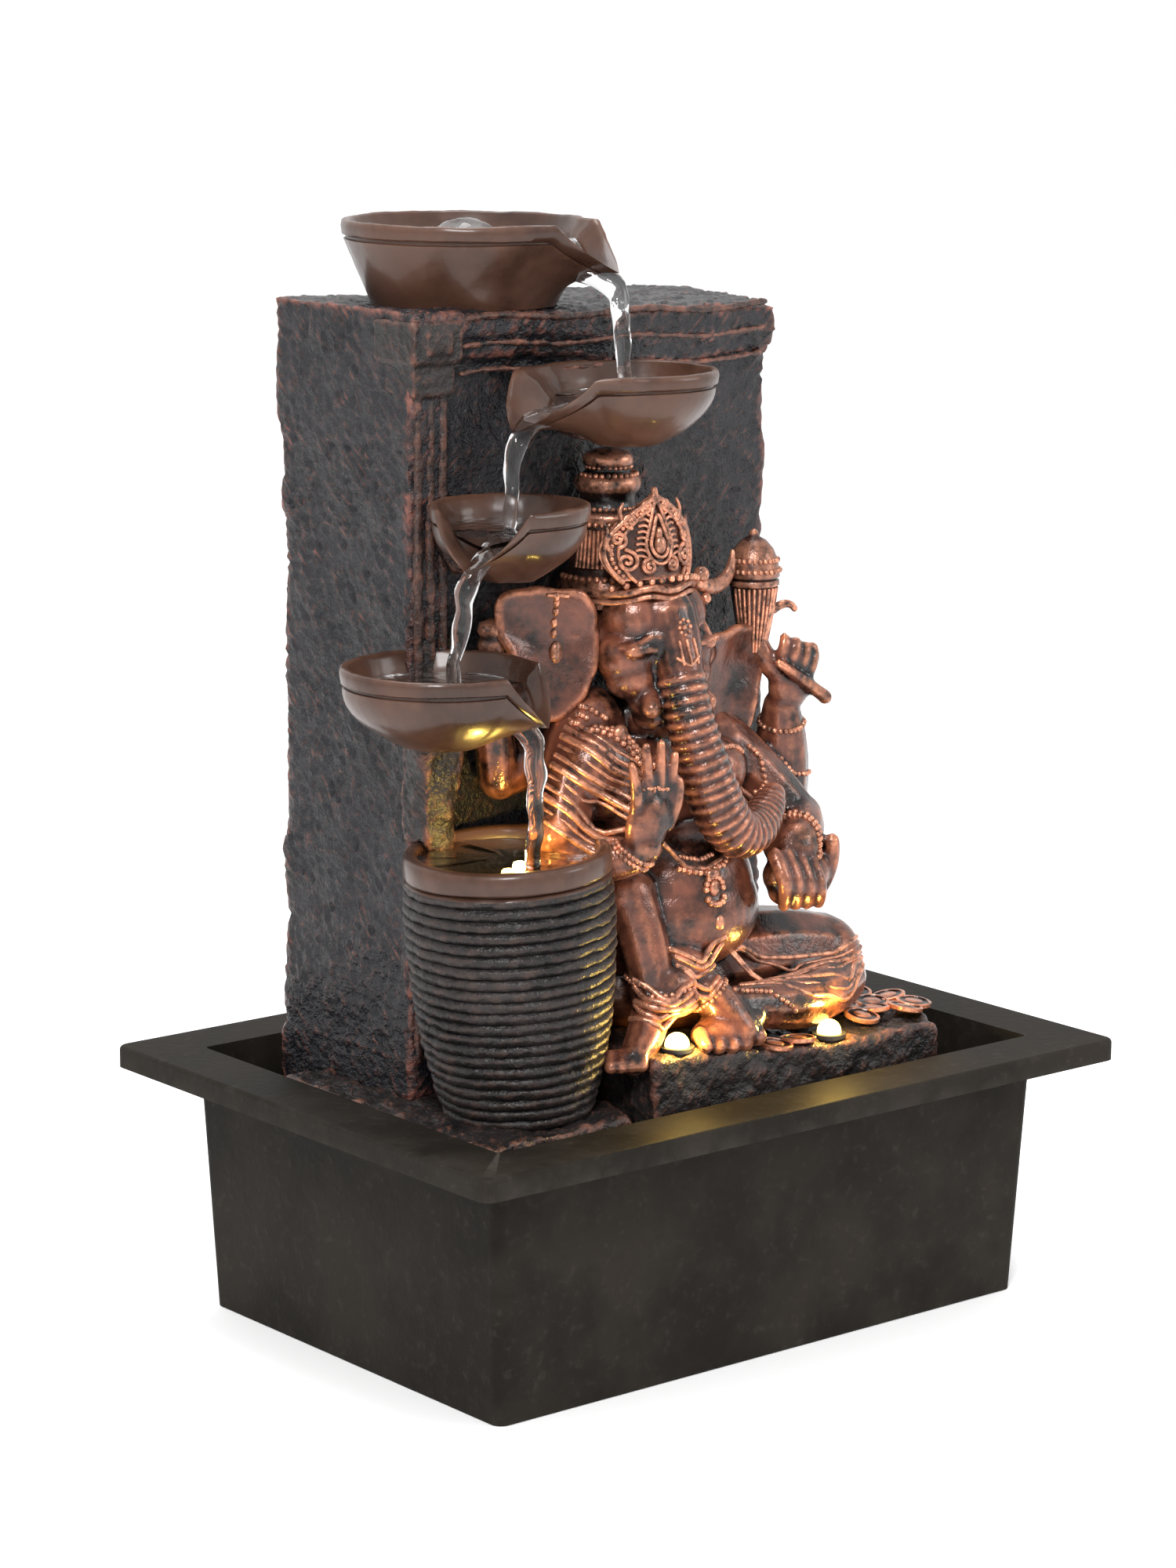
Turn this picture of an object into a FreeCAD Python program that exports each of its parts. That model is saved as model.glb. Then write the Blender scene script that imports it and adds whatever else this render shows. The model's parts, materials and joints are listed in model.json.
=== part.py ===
import FreeCAD, Part
import math
import os

from FreeCAD import Rotation, Vector

# Tabletop tiered water fountain: a tub, a hollow resin casting that stands in it and carries four spouted
# bowls, a ribbed pot and a seated elephant-headed figure, and a small submersible pump with its riser hose.
# Millimetres. Origin: middle of the tub's underside. +Z up, -Y is the front, +X is the viewer's right.

# ---- tub -------------------------------------------------------------------------------------------------
rim_length = 300.0          # flange, outside, along X
rim_depth = 224.0           # flange, outside, along Y
rim_height = 99.0           # top of the flange above the floor
flange_width = 24.0         # outer edge to the opening
flange_thickness = 3.0
flange_skirt = 8.0          # height of the turned-down edge
skirt_wall = 2.5
flange_corner = 5.0
flange_edge_round = 1.6
tub_wall = 2.6
tub_floor = 3.0
tub_draft = 4.5             # how far each wall leans in from flange to floor
tub_corner = 4.5

opening_half_x = rim_length / 2 - flange_width
opening_half_y = rim_depth / 2 - flange_width

# ---- backdrop slab ---------------------------------------------------------------------------------------
slab_left = -106.0
slab_right_front = 60.0
slab_right_back = 82.0
slab_front = -9.0           # face of the stone panel
slab_back = 66.0
slab_top_left = 376.5
slab_top_right = 371.5
slab_wall = 7.0
slab_roof = 8.0
slab_waist = 3.6            # how far the left side hollows in at mid-height
pilaster_width = 15.0
pilaster_depth = 4.0
capital_width = 22.0
capital_depth = 6.5
capital_height = 12.0
capital_neck_height = 10.0
cornice_depth = 5.5
cornice_step = 2.0          # the lower band stands this much further back
cornice_band = 9.5
lead_hole_radius = 3.0
foot_notch_width = 34.0     # lets water, and the pump's lead, under the slab's back wall
foot_notch_height = 14.0
lead_hole_height = 84.0

# ---- rear cover ------------------------------------------------------------------------------------------
cover_left = -86.0
cover_right = 30.0
cover_bottom = 124.0
cover_top = 262.0
cover_thickness = 3.5
cover_rebate = 5.0          # width of the ledge that the cover lies on
cover_gap = 0.5             # clearance all round the cover
cover_corner = 6.0
cover_grip_radius = 9.0

# ---- plinth and ledge ------------------------------------------------------------------------------------
plinth_left = -50.0
plinth_right = 88.0
plinth_right_back = 97.0
plinth_front = -80.0
plinth_top = 109.0
plinth_mound = 8.0          # extra height at the plinth's left end
plinth_wall = 5.0
ledge_front = -80.0
ledge_back = 40.0
ledge_right = -53.0
ledge_top = 98.0
ledge_plate = 5.0
ledge_skirt_inset = 8.0     # the skirt stands this far inside the plate's edge
tub_clearance = 0.8         # casting to tub opening

# ---- pot -------------------------------------------------------------------------------------------------
pot_x = -84.5
pot_y = -47.0
pot_height = 95.0
pot_lean = 3.5              # degrees, top towards -X
pot_base_radius = 25.5
pot_belly_radius = 36.6
pot_mouth_radius = 35.4
pot_wall = 4.0
pot_lip_height = 8.5
pot_rib_count = 21
pot_rib_depth = 0.9
pot_dish_depth = 15.0       # mouth to the lamp floor
pot_floor = 4.0

# ---- bowls: place, size and spout ------------------------------------------------------------------------
bowl_wall = 3.2
bowl_floor = 4.0
bowl_band_height = 5.5
bowl_band_depth = 0.8
bowl_1 = dict(x=-57.0, y=20.0, rim_z=405.0, rim_radius=44.0, base_radius=33.0, height=31.0, bulge=1.0,
              spout_angle=-70.0, spout_length=58.0, spout_drop=18.0, spout_half=8.0, notch_from=0.62)
bowl_2 = dict(x=-30.0, y=-40.0, rim_z=355.5, rim_radius=31.5, base_radius=12.0, height=27.0, bulge=5.0,
              spout_angle=-173.0, spout_length=54.0, spout_drop=17.0, spout_half=7.0, notch_from=0.35)
bowl_3 = dict(x=-84.5, y=-41.0, rim_z=312.5, rim_radius=28.0, base_radius=11.0, height=27.0, bulge=5.0,
              spout_angle=-155.0, spout_length=36.0, spout_drop=22.0, spout_half=6.0, notch_from=0.42)
bowl_4 = dict(x=-112.5, y=-38.0, rim_z=258.0, rim_radius=35.0, base_radius=15.0, height=29.0, bulge=5.5,
              spout_angle=-57.0, spout_length=36.0, spout_drop=23.0, spout_half=6.5, notch_from=0.45)

# ---- lamps -----------------------------------------------------------------------------------------------
lamp_body_radius = 5.0
lamp_body_length = 16.0
lamp_flange_radius = 6.2
lamp_flange_height = 1.6
lamp_lens_radius = 4.4
lamp_bore_gap = 0.2
lamp_left = (-33.0, -72.0)
lamp_right = (41.0, -71.0)
lead_radius = 1.1
lead_bend = 9.0
pot_lead_rise = 22.0        # the pot's lead leaves this far above the ledge
junction_size = (30.0, 20.0, 20.0)
junction_x = 12.0
junction_z = 140.0

# ---- riser hose ------------------------------------------------------------------------------------------
riser_x = bowl_1["x"]
riser_y = bowl_1["y"]
hose_bore = 4.6
hose_wall = 1.6
spigot_wall = 1.2
spigot_grip = 14.0          # how far a spigot reaches into the hose
push_fit_gap = 0.05
grommet_wall = 1.8

# ---- pump ------------------------------------------------------------------------------------------------
pump_axis_y = riser_y + 8.0  # the outlet is tangential, so the rotor lies beside the riser
pump_cup_height = 7.0
pump_body_size = (38.0, 36.0, 38.0)
volute_radius = 15.0
volute_wall = 2.2
volute_length = 15.0
rotor_magnet_radius = 6.6
rotor_magnet_length = 26.0
rotor_well_gap = 0.6
impeller_radius = 11.0
impeller_thickness = 7.0
impeller_vanes = 6
shaft_radius = 1.0
shaft_running_gap = 0.05
bush_radius = 2.6
bush_length = 4.0
inlet_radius = 6.0
strainer_wall = 1.8
strainer_slot = 2.0
strainer_bars = 6
slider_width = 9.0
slider_height = 7.0
slider_travel = 8.0
cup_radius = 6.0
gland_radius = 3.6
gland_length = 9.0

pump_outlet_x = riser_x
pump_axis_z = tub_floor + pump_cup_height + pump_body_size[2] / 2
pump_face_x = pump_outlet_x + volute_length / 2   # where the volute meets the motor block


# ---- helpers ---------------------------------------------------------------------------------------------
def box(x0, y0, z0, x1, y1, z1):
    return Part.makeBox(x1 - x0, y1 - y0, z1 - z0, Vector(x0, y0, z0))


def cylinder(radius, length, start, direction=Vector(0, 0, 1)):
    return Part.makeCylinder(radius, length, start, direction)


def rounded_rectangle(half_x, half_y, corner, z, x=0.0, y=0.0):
    """Closed wire, with the same eight edges for every size, so that two of them can be lofted."""
    edges = []
    turn = math.sqrt(0.5) * corner
    ends = [(1, 1), (-1, 1), (-1, -1), (1, -1)]
    for i, (sx, sy) in enumerate(ends):
        cx, cy = x + sx * (half_x - corner), y + sy * (half_y - corner)
        a = Vector(cx + sx * corner, cy, z) if sx * sy > 0 else Vector(cx, cy + sy * corner, z)
        b = Vector(cx, cy + sy * corner, z) if sx * sy > 0 else Vector(cx + sx * corner, cy, z)
        edges.append(Part.Arc(a, Vector(cx + sx * turn, cy + sy * turn, z), b).toShape())
        nx, ny = ends[(i + 1) % 4]
        next_x, next_y = x + nx * (half_x - corner), y + ny * (half_y - corner)
        c = Vector(next_x, next_y + ny * corner, z) if nx * ny < 0 else Vector(next_x + nx * corner, next_y, z)
        edges.append(Part.LineSegment(b, c).toShape())
    return Part.Wire(edges)


def prism(points, axis, start, length):
    """Polygon in the plane normal to axis ('y' takes x, z points, 'z' takes x, y points), extruded."""
    if axis == "z":
        corners = [Vector(a, b, start) for a, b in points]
        direction = Vector(0, 0, length)
    else:
        corners = [Vector(a, start, b) for a, b in points]
        direction = Vector(0, length, 0)
    wire = Part.makePolygon(corners + corners[:1])
    return Part.Face(wire).extrude(direction)


def curved_band(x_points, upper, lower, y_start, y_length):
    """Band in the front view between two flowing edges, each given by its heights at x_points."""
    top = Part.BSplineCurve()
    top.interpolate([Vector(x, y_start, z) for x, z in zip(x_points, upper)])
    bottom = Part.BSplineCurve()
    bottom.interpolate([Vector(x, y_start, z) for x, z in zip(x_points, lower)])
    left = Part.LineSegment(Vector(x_points[0], y_start, lower[0]), Vector(x_points[0], y_start, upper[0]))
    right = Part.LineSegment(Vector(x_points[-1], y_start, upper[-1]), Vector(x_points[-1], y_start, lower[-1]))
    wire = Part.Wire(Part.__sortEdges__([e.toShape() for e in (top, bottom, left, right)]))
    return Part.Face(wire).extrude(Vector(0, y_length, 0))


def revolve(edges, x, y):
    """Solid of revolution about the vertical through x, y, from edges in the half-plane towards +X."""
    face = Part.Face(Part.Wire(Part.__sortEdges__(edges)))
    return face.revolve(Vector(x, y, 0), Vector(0, 0, 1), 360)


def line(a, b):
    return Part.LineSegment(Vector(*a), Vector(*b)).toShape()


def limb(a, b, radius_a, radius_b):
    """Round-ended tapering limb from a to b."""
    a, b = Vector(*a), Vector(*b)
    along = b - a
    length = along.Length
    sine = (radius_a - radius_b) / length
    cosine = math.sqrt(1 - sine * sine)
    start, end = Vector(-radius_a, 0, 0), Vector(length + radius_b, 0, 0)
    near = Vector(radius_a * sine, radius_a * cosine, 0)
    far = Vector(length + radius_b * sine, radius_b * cosine, 0)
    half = math.sqrt(0.5)
    back_turn = math.atan2(near.y, near.x)
    front_turn = math.atan2(far.y, far.x - length)
    near_turn = (back_turn + math.pi) / 2
    far_turn = front_turn / 2
    near_mid = Vector(math.cos(near_turn) * radius_a, math.sin(near_turn) * radius_a, 0)
    far_mid = Vector(length + math.cos(far_turn) * radius_b, math.sin(far_turn) * radius_b, 0)
    edges = [
        Part.Arc(start, near_mid, near).toShape(),
        Part.LineSegment(near, far).toShape(),
        Part.Arc(far, far_mid, end).toShape(),
        Part.LineSegment(end, start).toShape(),
    ]
    solid = Part.Face(Part.Wire(edges)).revolve(Vector(0, 0, 0), Vector(1, 0, 0), 360)
    solid.rotate(Vector(0, 0, 0), Rotation(Vector(1, 0, 0), along).Axis,
                 math.degrees(Rotation(Vector(1, 0, 0), along).Angle))
    solid.translate(a)
    return solid


def disc_mass(centre, radius, depth):
    """Lens-like mass facing front: round in the front view, depth is half its thickness along Y."""
    ellipse = Part.Ellipse(Vector(0, 0, 0), radius, depth)
    half = Part.Arc(ellipse, -math.pi / 2, math.pi / 2).toShape()
    closing = Part.LineSegment(Vector(0, depth, 0), Vector(0, -depth, 0)).toShape()
    solid = Part.Face(Part.Wire([half, closing])).revolve(Vector(0, 0, 0), Vector(0, 1, 0), 360)
    solid.translate(Vector(*centre))
    return solid


def bent_tube(points, radius, bend):
    """Solid rod along straight runs joined by tangent arcs; the bend is limited by the shorter run."""
    corners = [Vector(*p) for p in points]
    edges, at = [], corners[0]
    for i in range(1, len(corners) - 1):
        before, here, after = corners[i - 1], corners[i], corners[i + 1]
        inward, outward = (here - before).normalize(), (after - here).normalize()
        turn = inward.getAngle(outward)
        room = 0.45 * min((here - before).Length, (after - here).Length)
        reach = min(bend * math.tan(turn / 2), room)
        arc_radius = reach / math.tan(turn / 2)
        a, b = here - inward * reach, here + outward * reach
        to_centre = (outward - inward).normalize()
        middle = here + to_centre * (arc_radius / math.cos(turn / 2) - arc_radius)
        edges += [Part.LineSegment(at, a).toShape(), Part.Arc(a, middle, b).toShape()]
        at = b
    edges.append(Part.LineSegment(at, corners[-1]).toShape())
    path = Part.Wire(edges)
    first = (corners[1] - corners[0]).normalize()
    profile = Part.Wire([Part.Circle(corners[0], first, radius).toShape()])
    return path.makePipeShell([profile], True, True)


def fuse(solids):
    joined = solids[0].multiFuse(solids[1:]) if len(solids) > 1 else solids[0]
    return joined.removeSplitter()


# ---- tub -------------------------------------------------------------------------------------------------
def make_tub():
    outer_top_x = opening_half_x + tub_wall
    outer_top_y = opening_half_y + tub_wall
    inner_corner = tub_corner - tub_wall

    def outer(z):
        lean = tub_draft * (1 - z / rim_height)
        return rounded_rectangle(outer_top_x - lean, outer_top_y - lean, tub_corner, z)

    def inner(z):
        lean = tub_draft * (1 - z / rim_height)
        return rounded_rectangle(opening_half_x - lean, opening_half_y - lean, inner_corner, z)

    walls = Part.makeLoft([outer(0.0), outer(rim_height)], True, True)
    hollow = Part.makeLoft([inner(tub_floor), inner(rim_height)], True, True)
    block = Part.Face(rounded_rectangle(rim_length / 2, rim_depth / 2, flange_corner, rim_height - flange_skirt))
    block = block.extrude(Vector(0, 0, flange_skirt))
    top_edges = [e for e in block.Edges if all(abs(v.Z - rim_height) < 1e-6 for v in e.Vertexes)]
    block = block.makeFillet(flange_edge_round, top_edges)
    under = Part.Face(rounded_rectangle(rim_length / 2 - skirt_wall, rim_depth / 2 - skirt_wall,
                                        flange_corner - skirt_wall, rim_height - flange_skirt))
    under = under.extrude(Vector(0, 0, flange_skirt - flange_thickness))
    return fuse([block.cut(under), walls]).cut(hollow)


# ---- slab ------------------------------------------------------------------------------------------------
def slab_top_at(x):
    share = (x - slab_left) / (slab_right_back - slab_left)
    return slab_top_left + (slab_top_right - slab_top_left) * share


def slab_envelope():
    """Outer block of the slab: its plan, cut to the front outline with a hollowed left side."""
    plan = [(slab_left - slab_waist, slab_front), (slab_right_front, slab_front),
            (slab_right_back, slab_back), (slab_left - slab_waist, slab_back)]
    block = prism(plan, "z", tub_floor, slab_top_left - tub_floor)
    left = Part.BSplineCurve()
    heights = [tub_floor, 110.0, 175.0, 235.0, 290.0, 335.0, slab_top_left]
    waist_share = [0.0, 0.0, 0.5, 1.0, 0.7, -0.1, 0.0]
    left.interpolate([Vector(slab_left + slab_waist * s, slab_front, z) for z, s in zip(heights, waist_share)])
    right = slab_right_back + 1.0
    top = Part.LineSegment(Vector(slab_left, slab_front, slab_top_left), Vector(right, slab_front, slab_top_right))
    side = Part.LineSegment(Vector(right, slab_front, slab_top_right), Vector(right, slab_front, tub_floor))
    foot = Part.LineSegment(Vector(right, slab_front, tub_floor), Vector(slab_left, slab_front, tub_floor))
    outline = Part.Face(Part.Wire([e.toShape() for e in (left, top, side, foot)]))
    return block.common(outline.extrude(Vector(0, slab_back - slab_front, 0)))


def slab_cavity():
    rise = slab_top_right - slab_roof
    flare = (slab_right_back - slab_right_front) / (slab_back - slab_front)
    plan = [(slab_left + slab_wall, slab_front + slab_wall),
            (slab_right_front - slab_wall + flare * slab_wall, slab_front + slab_wall),
            (slab_right_back - slab_wall - flare * slab_wall, slab_back - slab_wall),
            (slab_left + slab_wall, slab_back - slab_wall)]
    return prism(plan, "z", tub_floor, rise - tub_floor)


def slab_trim():
    """Pilaster, its capital, and the two flowing cornice bands, all raised from the panel."""
    face = slab_front
    top = slab_top_left
    neck_top = top - capital_height
    pilaster = box(slab_left, face - pilaster_depth, ledge_top,
                   slab_left + pilaster_width, face, neck_top)
    capital = box(slab_left, face - capital_depth, neck_top, slab_left + capital_width, face, top - 1.0)
    neck = box(slab_left, face - capital_depth + 1.5, neck_top - capital_neck_height,
               slab_left + capital_width - 3.5, face, neck_top)
    start = slab_left + capital_width
    span = slab_right_front - start
    xs = [start + span * s for s in (0.0, 0.18, 0.35, 0.58, 0.8, 1.0)]
    wave = (0.5, 1.5, 0.0, -3.4, -2.6, -0.8)
    upper_edge = [slab_top_at(x) - 0.8 for x in xs]
    middle_edge = [slab_top_at(x) - cornice_band + w for x, w in zip(xs, wave)]
    lower_edge = [z - 0.75 * cornice_band for z in middle_edge]
    upper = curved_band(xs, upper_edge, middle_edge, face - cornice_depth, cornice_depth)
    lower = curved_band(xs, middle_edge, lower_edge, face - cornice_depth + cornice_step,
                        cornice_depth - cornice_step)
    return [pilaster, capital, neck, upper, lower]


def cover_opening(grow, y0, y1):
    """Rounded window in the back wall, grown all round by grow."""
    half_x = (cover_right - cover_left) / 2 + grow
    half_z = (cover_top - cover_bottom) / 2 + grow
    flat = Part.Face(rounded_rectangle(half_x, half_z, cover_corner + grow, 0.0))
    solid = flat.extrude(Vector(0, 0, y1 - y0))
    solid.rotate(Vector(0, 0, 0), Vector(1, 0, 0), 90)
    solid.translate(Vector((cover_left + cover_right) / 2, y1, (cover_bottom + cover_top) / 2))
    return solid


def make_slab():
    solid = fuse([slab_envelope()] + slab_trim()).cut(slab_cavity())
    inside_back = slab_back - slab_wall
    solid = solid.cut(cover_opening(-cover_rebate, inside_back - 1.0, slab_back + 1.0))
    solid = solid.cut(cover_opening(cover_gap, slab_back - cover_thickness, slab_back + 1.0))
    hose_radius = hose_bore + hose_wall + grommet_wall
    solid = solid.cut(cylinder(hose_radius, slab_roof * 3, Vector(riser_x, riser_y, slab_top_left - 2 * slab_roof)))
    for x, z in ((lamp_left[0], lead_hole_height), (lamp_right[0], lead_hole_height), pot_lead_place()):
        solid = solid.cut(cylinder(lead_hole_radius, slab_wall + 20.0, Vector(x, slab_front - 10.0, z),
                                   Vector(0, 1, 0)))
    for x in (0.7 * slab_left, 0.4 * slab_right_front):
        solid = solid.cut(box(x, slab_back - 2 * slab_wall, 0.0, x + foot_notch_width, slab_back + 1.0,
                              tub_floor + foot_notch_height))
    return solid


def make_cover():
    panel = cover_opening(0.0, slab_back - cover_thickness, slab_back)
    grip = cylinder(cover_grip_radius, cover_thickness * 3,
                    Vector((cover_left + cover_right) / 2, slab_back - 2 * cover_thickness, cover_top), Vector(0, 1, 0))
    return panel.cut(grip)


# ---- plinth and ledge ------------------------------------------------------------------------------------
def plinth_profile(inset):
    """Front view of the plinth: level on the right, rising to a low mound at the left."""
    left, right = plinth_left + inset, plinth_right_back - inset
    top = plinth_top - inset
    middle = plinth_left + 0.42 * (plinth_right - plinth_left)
    low = plinth_left + 0.62 * (plinth_right - plinth_left)
    return [(left, tub_floor), (left, top + plinth_mound), (plinth_left + 18.0, top + plinth_mound * 0.9),
            (middle, top + plinth_mound * 0.3), (low, top), (right, top), (right, tub_floor)]


def plinth_plan(inset, back):
    front = plinth_front + inset
    return [(plinth_left + inset, front), (plinth_right - inset, front), (plinth_right_back - inset, front + 36.0),
            (plinth_right_back - inset - 2.0, back), (plinth_left + inset, back)]


def make_plinth():
    depth = slab_front - plinth_front
    outer = prism(plinth_profile(0.0), "y", plinth_front, depth)
    outer = outer.common(prism(plinth_plan(0.0, slab_front), "z", 0.0, slab_top_left))
    inner = prism(plinth_profile(plinth_wall), "y", plinth_front, depth + 1.0)
    inner = inner.common(prism(plinth_plan(plinth_wall, slab_front), "z", 0.0, slab_top_left))
    inner = inner.common(box(-rim_length, plinth_front, 0.0, slab_right_front, slab_front, slab_top_left))
    solid = outer.cut(inner)
    for x, y in (lamp_left, lamp_right):
        solid = solid.cut(cylinder(lamp_body_radius + lamp_bore_gap, 40.0, Vector(x, y, plinth_top - 20.0)))
    return solid


def plinth_height_at(x):
    points = plinth_profile(0.0)[1:-1]
    for (x0, z0), (x1, z1) in zip(points, points[1:]):
        if x0 <= x <= x1:
            return z0 + (z1 - z0) * (x - x0) / (x1 - x0)
    return plinth_top


def make_ledge():
    left = -opening_half_x + tub_clearance
    plan = [(left, ledge_front), (ledge_right - 8.0, ledge_front), (ledge_right, ledge_front + 22.0),
            (ledge_right, slab_front), (slab_left, slab_front), (slab_left, ledge_back), (left, ledge_back)]
    plate = prism(plan, "z", ledge_top - ledge_plate, ledge_plate)
    inset = ledge_skirt_inset
    skirt_outer = box(left + inset, ledge_front + inset, tub_floor, ledge_right - inset, slab_front, ledge_top - 1.0)
    skirt_inner = box(left + inset + plinth_wall, ledge_front + inset + plinth_wall, tub_floor,
                      ledge_right - inset - plinth_wall, slab_front, ledge_top - ledge_plate)
    solid = fuse([plate, skirt_outer]).cut(skirt_inner)
    well = pot_base_radius - 2 * pot_wall
    return solid.cut(cylinder(well, 3 * ledge_plate, Vector(pot_x, pot_y, ledge_top - 2 * ledge_plate)))


# ---- pot -------------------------------------------------------------------------------------------------
def pot_radius_at(z):
    """Outer radius at height z above the foot: a quick swell, then a gentle draw-in to the mouth."""
    share = z / pot_height
    swell = math.sin(min(share / 0.72, 1.0) * math.pi / 2) ** 0.85
    radius = pot_base_radius + (pot_belly_radius - pot_base_radius) * swell
    if share > 0.72:
        radius -= (pot_belly_radius - pot_mouth_radius) * ((share - 0.72) / 0.28) ** 1.4
    return radius


def pot_lean_applied(solid):
    solid.rotate(Vector(pot_x, pot_y, ledge_top), Vector(0, 1, 0), -pot_lean)
    return solid


def make_pot():
    """Ribbed shell with a shallow dish in its mouth; each rib is one shallow arc of the profile."""
    foot = ledge_top
    ribs_top = pot_height - pot_lip_height
    pitch = ribs_top / pot_rib_count
    edges, z = [], 0.0
    for i in range(pot_rib_count):
        r0, r1 = pot_radius_at(z), pot_radius_at(z + pitch)
        mid = (r0 + r1) / 2 + pot_rib_depth
        edges.append(Part.Arc(Vector(pot_x + r0, pot_y, foot + z), Vector(pot_x + mid, pot_y, foot + z + pitch / 2),
                              Vector(pot_x + r1, pot_y, foot + z + pitch)).toShape())
        z += pitch
    lip = pot_radius_at(ribs_top) + pot_rib_depth
    mouth = pot_mouth_radius
    inner = pot_mouth_radius - pot_wall
    top = foot + pot_height
    dish = top - pot_dish_depth
    points = [(pot_radius_at(ribs_top), foot + ribs_top), (lip, foot + ribs_top + 0.6), (mouth + 0.6, top - 1.2),
              (mouth - 0.8, top), (inner, top), (inner - 1.5, dish + 3.0), (inner - 6.0, dish), (0.0, dish),
              (0.0, dish - pot_floor), (inner - 6.0, dish - pot_floor), (inner - 2.0, dish - 2 * pot_floor),
              (pot_base_radius - pot_wall, foot), (pot_base_radius, foot)]
    edges += [line((pot_x + a, pot_y, b), (pot_x + c, pot_y, d)) for (a, b), (c, d) in zip(points, points[1:])]
    solid = revolve(edges, pot_x, pot_y)
    lamp = cylinder(lamp_body_radius + lamp_bore_gap, 3 * pot_floor, Vector(pot_x, pot_y, dish - 2 * pot_floor))
    lead_x, lead_z = pot_lead_place()
    port = cylinder(lead_hole_radius, pot_base_radius * 2, Vector(lead_x, pot_y, lead_z), Vector(0, 1, 0))
    return pot_lean_applied(solid.cut(lamp)).cut(port)


def pot_lead_place():
    """Where the pot lamp's lead leaves the leaning pot: x under the lamp, z above the ledge."""
    lamp_foot = ledge_top + pot_height - pot_dish_depth - lamp_body_length
    return pot_x - math.tan(math.radians(pot_lean)) * (lamp_foot - ledge_top), ledge_top + pot_lead_rise


# ---- bowls -----------------------------------------------------------------------------------------------
def bowl_section(half, bottom, top, s):
    """Trough section at distance s along the spout, for the loft that makes the spout."""
    belly = bottom + 0.35 * (top - bottom)
    points = [(-half, top), (-half, belly), (-0.5 * half, bottom), (0.5 * half, bottom), (half, belly), (half, top)]
    corners = [Vector(s, a, b) for a, b in points]
    return Part.makePolygon(corners + corners[:1])


def bowl_turned(spec, inset, floor, lift):
    """Round body of a bowl, shrunk by inset for its inside."""
    base, rim = spec["base_radius"], spec["rim_radius"] - inset
    bottom = spec["rim_z"] - spec["height"] + floor
    top = spec["rim_z"] + lift
    foot = max(base - inset * 0.5, 3.0)
    middle_r = (foot + rim) / 2 + spec["bulge"]
    middle_z = bottom + (top - bottom) * 0.42
    x, y = spec["x"], spec["y"]
    edges = [Part.Arc(Vector(x + foot, y, bottom), Vector(x + middle_r, y, middle_z),
                      Vector(x + rim, y, top)).toShape(),
             line((x + rim, y, top), (x, y, top)), line((x, y, top), (x, y, bottom)),
             line((x, y, bottom), (x + foot, y, bottom))]
    return revolve(edges, x, y)


def make_bowl(spec):
    x, y, rim_z = spec["x"], spec["y"], spec["rim_z"]
    bottom = rim_z - spec["height"]
    length, tip_z = spec["spout_length"], rim_z - spec["spout_drop"]
    half = spec["spout_half"]
    wide = spec["rim_radius"] * 0.62
    near, far = spec["rim_radius"] * 0.45, length
    outer_spout = Part.makeLoft([bowl_section(wide, bottom + 3.0, rim_z, near),
                                 bowl_section(half + bowl_wall, tip_z - bowl_wall - 2.0, tip_z + 8.0, far)], True, True)
    inner_spout = Part.makeLoft([bowl_section(wide - bowl_wall, bottom + 3.0 + bowl_floor, rim_z + 6.0, near - 4.0),
                                 bowl_section(half, tip_z - 1.0, tip_z + 16.0, far + 1.0)], True, True)
    start = spec["notch_from"] * spec["rim_radius"] + 0.35 * spec["rim_radius"]
    notch = prism([(start, rim_z), (far + 2.0, tip_z + 3.5), (far + 2.0, rim_z + 12.0), (start, rim_z + 12.0)],
                  "y", -wide - 8.0, 2 * (wide + 8.0))
    for part in (outer_spout, inner_spout, notch):
        part.rotate(Vector(0, 0, 0), Vector(0, 0, 1), spec["spout_angle"])
        part.translate(Vector(x, y, 0))
    band_radius = spec["rim_radius"] + bowl_band_depth
    band = cylinder(band_radius, bowl_band_height, Vector(x, y, rim_z - bowl_band_height))
    body = bowl_turned(spec, 0.0, 0.0, 0.0)
    solid = fuse([body, band, outer_spout])
    solid = solid.cut(bowl_turned(spec, bowl_wall, bowl_floor, 0.01)).cut(inner_spout).cut(notch)
    return max(solid.Solids, key=lambda s: s.Volume)


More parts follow.
